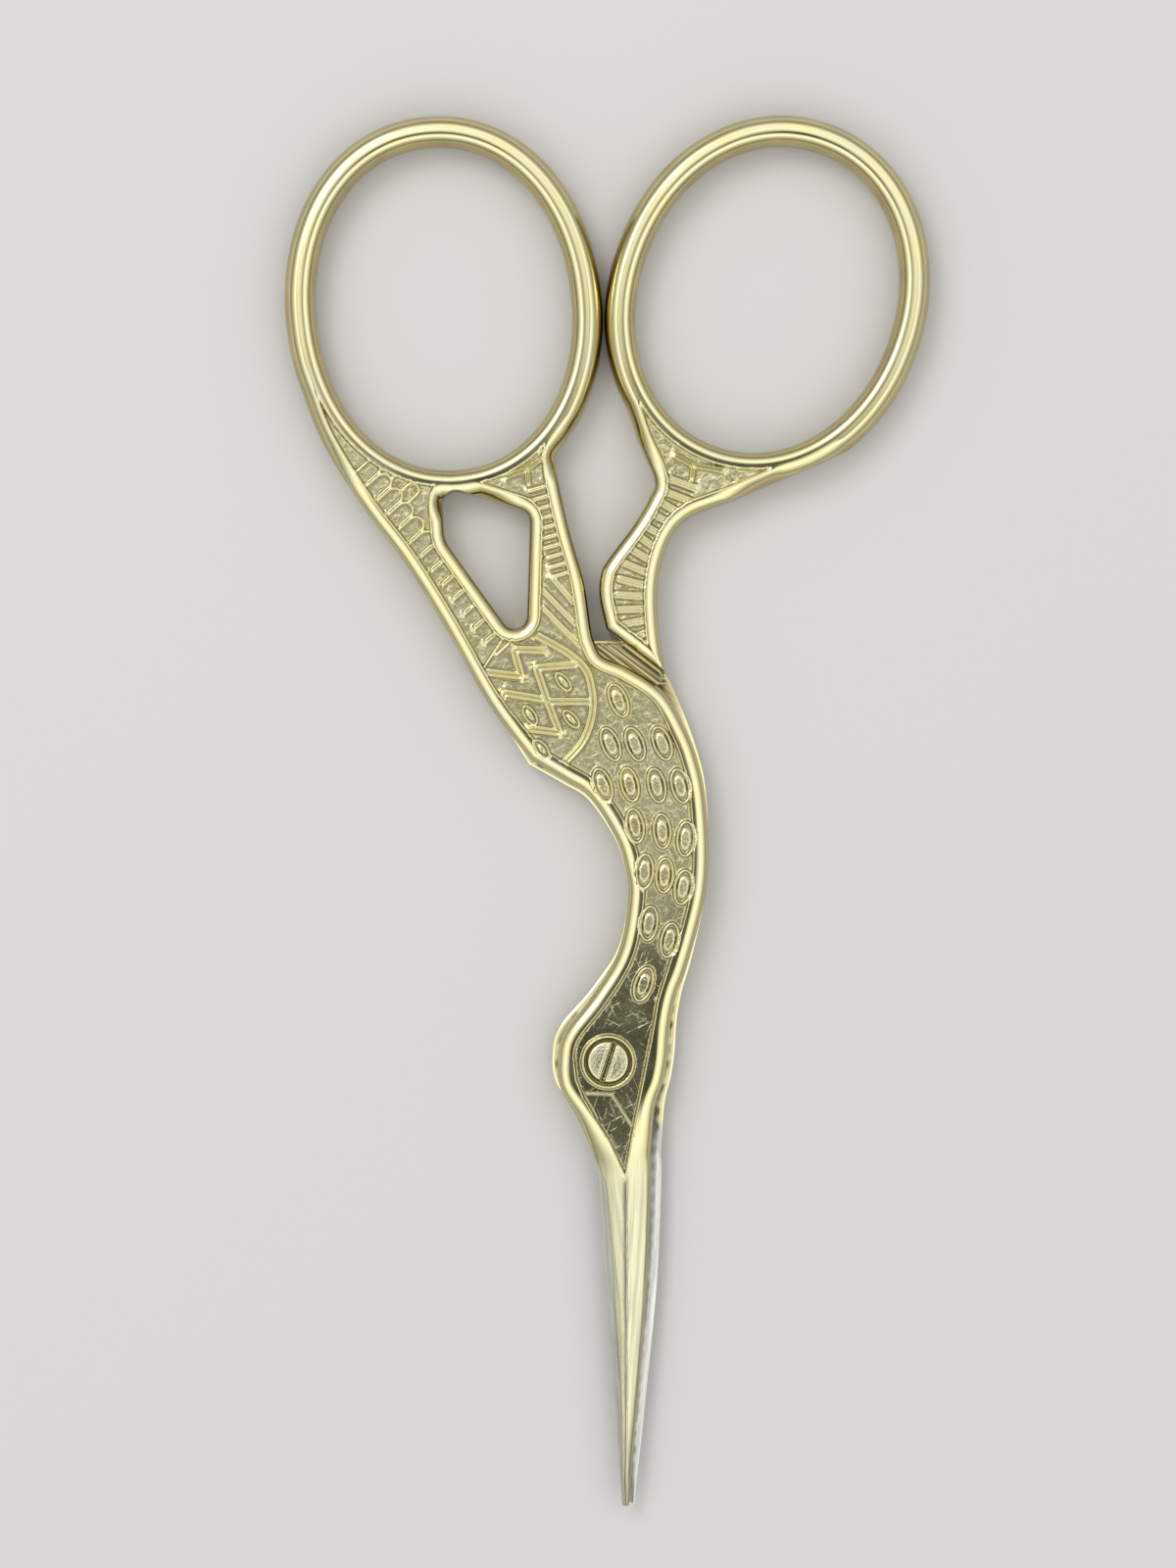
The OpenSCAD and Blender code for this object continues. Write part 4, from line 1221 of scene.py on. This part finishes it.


# Gold plate: polished with streaks along the rims and the wire, dull and grained in the sunk fields but
# calmer in the neck and head, stippled in the ovals, with painted shade on steep walls, in crevices and by
# the shoulder, and bare on the ground edges.
def platingMaterial(name):
    p = plating
    material = bpy.data.materials.new(name)
    material.use_nodes = True
    shader = material.node_tree.nodes["Principled BSDF"]
    w = Wiring(material.node_tree)
    place = w.add("TexCoord", {}, "Object")
    sunk, bare, stippled, across, amberShade, creviceShade = (
        w.add("Attribute", {}, "Fac", attribute_name=label)
        for label in ("sunk", "bare", "stipple", "across", "amberShade", "creviceShade"))
    x, y = (w.add("SeparateXYZ", {0: place}, axis) for axis in ("X", "Y"))
    streakPlace = w.add("CombineXYZ", {0: w.times(across, p["streaksAcross"]),
                                       1: w.times(x, p["streaksAlong"]), 2: w.times(y, p["streaksAlong"])})
    streaks = w.noise(streakPlace, 1.0, 4)
    patches = w.noise(place, p["patches"], 3)
    grain = w.noise(place, p["grains"], 4)
    dots = w.noise(place, p["dots"], 2)

    # Scratches lie in four directions: noise stretched along each, of which only the peaks show
    scratches = 0.0
    for turn in p["scratchTurns"]:
        ways = {"Vector": place, "Rotation": (0, 0, turn), "Scale": p["scratchStretch"]}
        stretched = w.add("Mapping", ways, vector_type="TEXTURE")     # turns and then divides by the scale
        scratches = w.greater(scratches, w.spread(w.noise(stretched, p["scratches"], 2), *p["scratchEdge"]))

    blade = w.spread(y, *p["bladeFrom"], 1.0, 0.0)
    calm = w.spread(y, *p["calmFrom"], *p["calm"])
    dirt = w.times(sunk, w.spread(y, *p["dirtFrom"], *p["headDirt"]),
                   w.spread(grain, *p["grainSpan"], *p["dirt"]))
    silver = w.blend(w.spread(streaks, *p["streakSpan"]), p["silver"], p["dullSilver"])
    rubbed = w.blend(w.spread(streaks, *p["bladeSpan"]), p["blade"], p["dullBlade"])
    wallShadeByPatches, creviceShadeByPatches = (w.spread(patches, *p["patchSpan"], *p[shadeKey]) for shadeKey in ("wallShadeByPatches", "creviceShadeByPatches"))
    colour = w.blend(w.spread(patches, *p["wornSpan"]), p["gold"], p["worn"])
    colour = w.blend(dirt, colour, p["aged"])
    colour = w.blend(w.times(blade, p["bladeWear"]), colour, rubbed)
    # Painted shade: amber-brown on steep walls and by the shoulder, near black in crevices
    colour = w.blend(w.times(amberShade, wallShadeByPatches), colour, p["wall"])
    colour = w.blend(w.times(creviceShade, creviceShadeByPatches), colour, p["creviceShade"])
    colour = w.blend(bare, colour, silver)

    rough = w.plus(w.spread(patches, *p["patchSpan"], *p["patchRough"]), p["polished"])
    rough = w.plus(rough, w.times(sunk, calm, p["sunk"] - p["polished"]))
    rough = w.plus(rough, w.times(stippled, p["stippled"] - p["sunk"]))
    rough = w.plus(rough, w.times(bare, p["ground"] - p["polished"]))

    drawn = w.times(blade, w.rest(bare), p["bladeStreak"])
    height = w.times(streaks, w.rest(sunk), w.plus(p["streak"], drawn))
    height = w.plus(height, w.times(grain, w.times(sunk, calm, p["grain"])))
    height = w.plus(height, w.times(dots, stippled, p["stipple"]))
    height = w.plus(height, w.times(scratches, sunk, -p["scratch"]))
    normal = w.add("Bump", {"Strength": 1.0, "Distance": mm, "Height": height}, "Normal")

    for label, value in (("Base Color", colour), ("Metallic", 1.0), ("Roughness", rough), ("Normal", normal)):
        w.join(value, shader.inputs[label])
    return material


studio = {
    "floor": (0.64, 0.63, 0.61, 1), "floorRough": 0.9, "floorSize": 1.2,
    "floorPlace": (0, 0.018, -0.00001),     # in metres, a hair below the rims
    "cameraHeight": 300.0, "aim": (-1.32, 18.26),
    "viewHeight": 103.2, "sharpHeight": 2.2, "sensor": 36, "clip": (0.01, 10),
    # How bright the sky is by the cosine of its angle from the crown: 1 at the crown, 0 square to it and
    # beyond
    "sky": [(0.0, 0.3), (0.25, 0.42), (0.5, 0.75), (0.68, 1.15), (0.82, 1.35), (0.93, 1.25), (0.97, 0.8),
            (0.988, 0.3), (0.996, 0.06), (1.0, 0.04)],
    "crown": (0.0, -0.07, 0.9975),          # the darkest part of the sky is seen in the head
    "side": (0.2, -0.5, 0.0), "sideLeast": 0.9, "sideMost": 1.1,
    "keyPower": 0.5, "keyPlace": (-0.2, 0.26, 0.42), "keySize": 0.22,
}


# Sky that is brightest between the crown and half way down, as from a ring of softboxes: a ramp over the
# direction's dot product with the crown, a little stronger towards one side.
def makeSky():
    world = bpy.data.worlds.new("studio")
    bpy.context.scene.world = world
    world.use_nodes = True
    w = Wiring(world.node_tree)
    direction = w.add("TexCoord", {}, "Generated")
    upwards, sided = (w.add("VectorMath", {0: direction, 1: studio[way]}, "Value", operation="DOT_PRODUCT")
                      for way in ("crown", "side"))
    colour = w.add("ValToRGB", {0: upwards}, "Color")
    stops = colour.node.color_ramp.elements
    while len(stops) < len(studio["sky"]):
        stops.new(0.5)
    for stop, (place, level) in zip(stops, studio["sky"]):
        stop.position = place
        stop.color = (level, level, level, 1)
    background = world.node_tree.nodes["Background"]
    w.join(colour, background.inputs["Color"])
    w.join(w.spread(sided, -1, 1, studio["sideLeast"], studio["sideMost"]), background.inputs["Strength"])


# One large lamp for the shadow.
def makeLamp():
    key = bpy.data.lights.new("key", "AREA")
    key.energy, key.size = studio["keyPower"], studio["keySize"]
    lamp = bpy.data.objects.new("key", key)
    lamp.location = studio["keyPlace"]
    lamp.rotation_euler = (-lamp.location).to_track_quat("-Z", "Y").to_euler()
    bpy.context.scene.collection.objects.link(lamp)


# Plain pale floor.
def makeFloor():
    bpy.ops.mesh.primitive_plane_add(size=studio["floorSize"], location=studio["floorPlace"])
    floor = bpy.context.object
    floor.name = "floor"
    material = bpy.data.materials.new("paleFloor")
    material.use_nodes = True
    shader = material.node_tree.nodes["Principled BSDF"]
    shader.inputs["Base Color"].default_value = studio["floor"]
    shader.inputs["Roughness"].default_value = studio["floorRough"]
    floor.data.materials.append(material)


# Camera straight above, with a lens that fills the picture's height with viewHeight at sharpHeight.
def makeCamera():
    lens = bpy.data.cameras.new("camera")
    lens.sensor_width = studio["sensor"]
    lens.lens = studio["sensor"] * (studio["cameraHeight"] - studio["sharpHeight"]) / studio["viewHeight"]
    lens.clip_start, lens.clip_end = studio["clip"]
    camera = bpy.data.objects.new("camera", lens)
    camera.location = (studio["aim"][0] * mm, studio["aim"][1] * mm, studio["cameraHeight"] * mm)
    bpy.context.scene.collection.objects.link(camera)
    bpy.context.scene.camera = camera
    bpy.context.scene.view_settings.view_transform = "Standard"


pieces = {
    "upper_half": (makeUpperHalf(), "upper"),
    "lower_half": (makeLowerHalf(), "lower"),
    "pivot_screw": (makeScrew(), "lower"),
}
plate = platingMaterial("goldPlate")
for node, (piece, bodyName) in pieces.items():
    piece.data.materials.append(plate)
    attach(piece, bodyName)
    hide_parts(node)
print("pieces ride on their bodies")

for make in (makeSky, makeLamp, makeFloor, makeCamera):
    make()
print("studio ready")
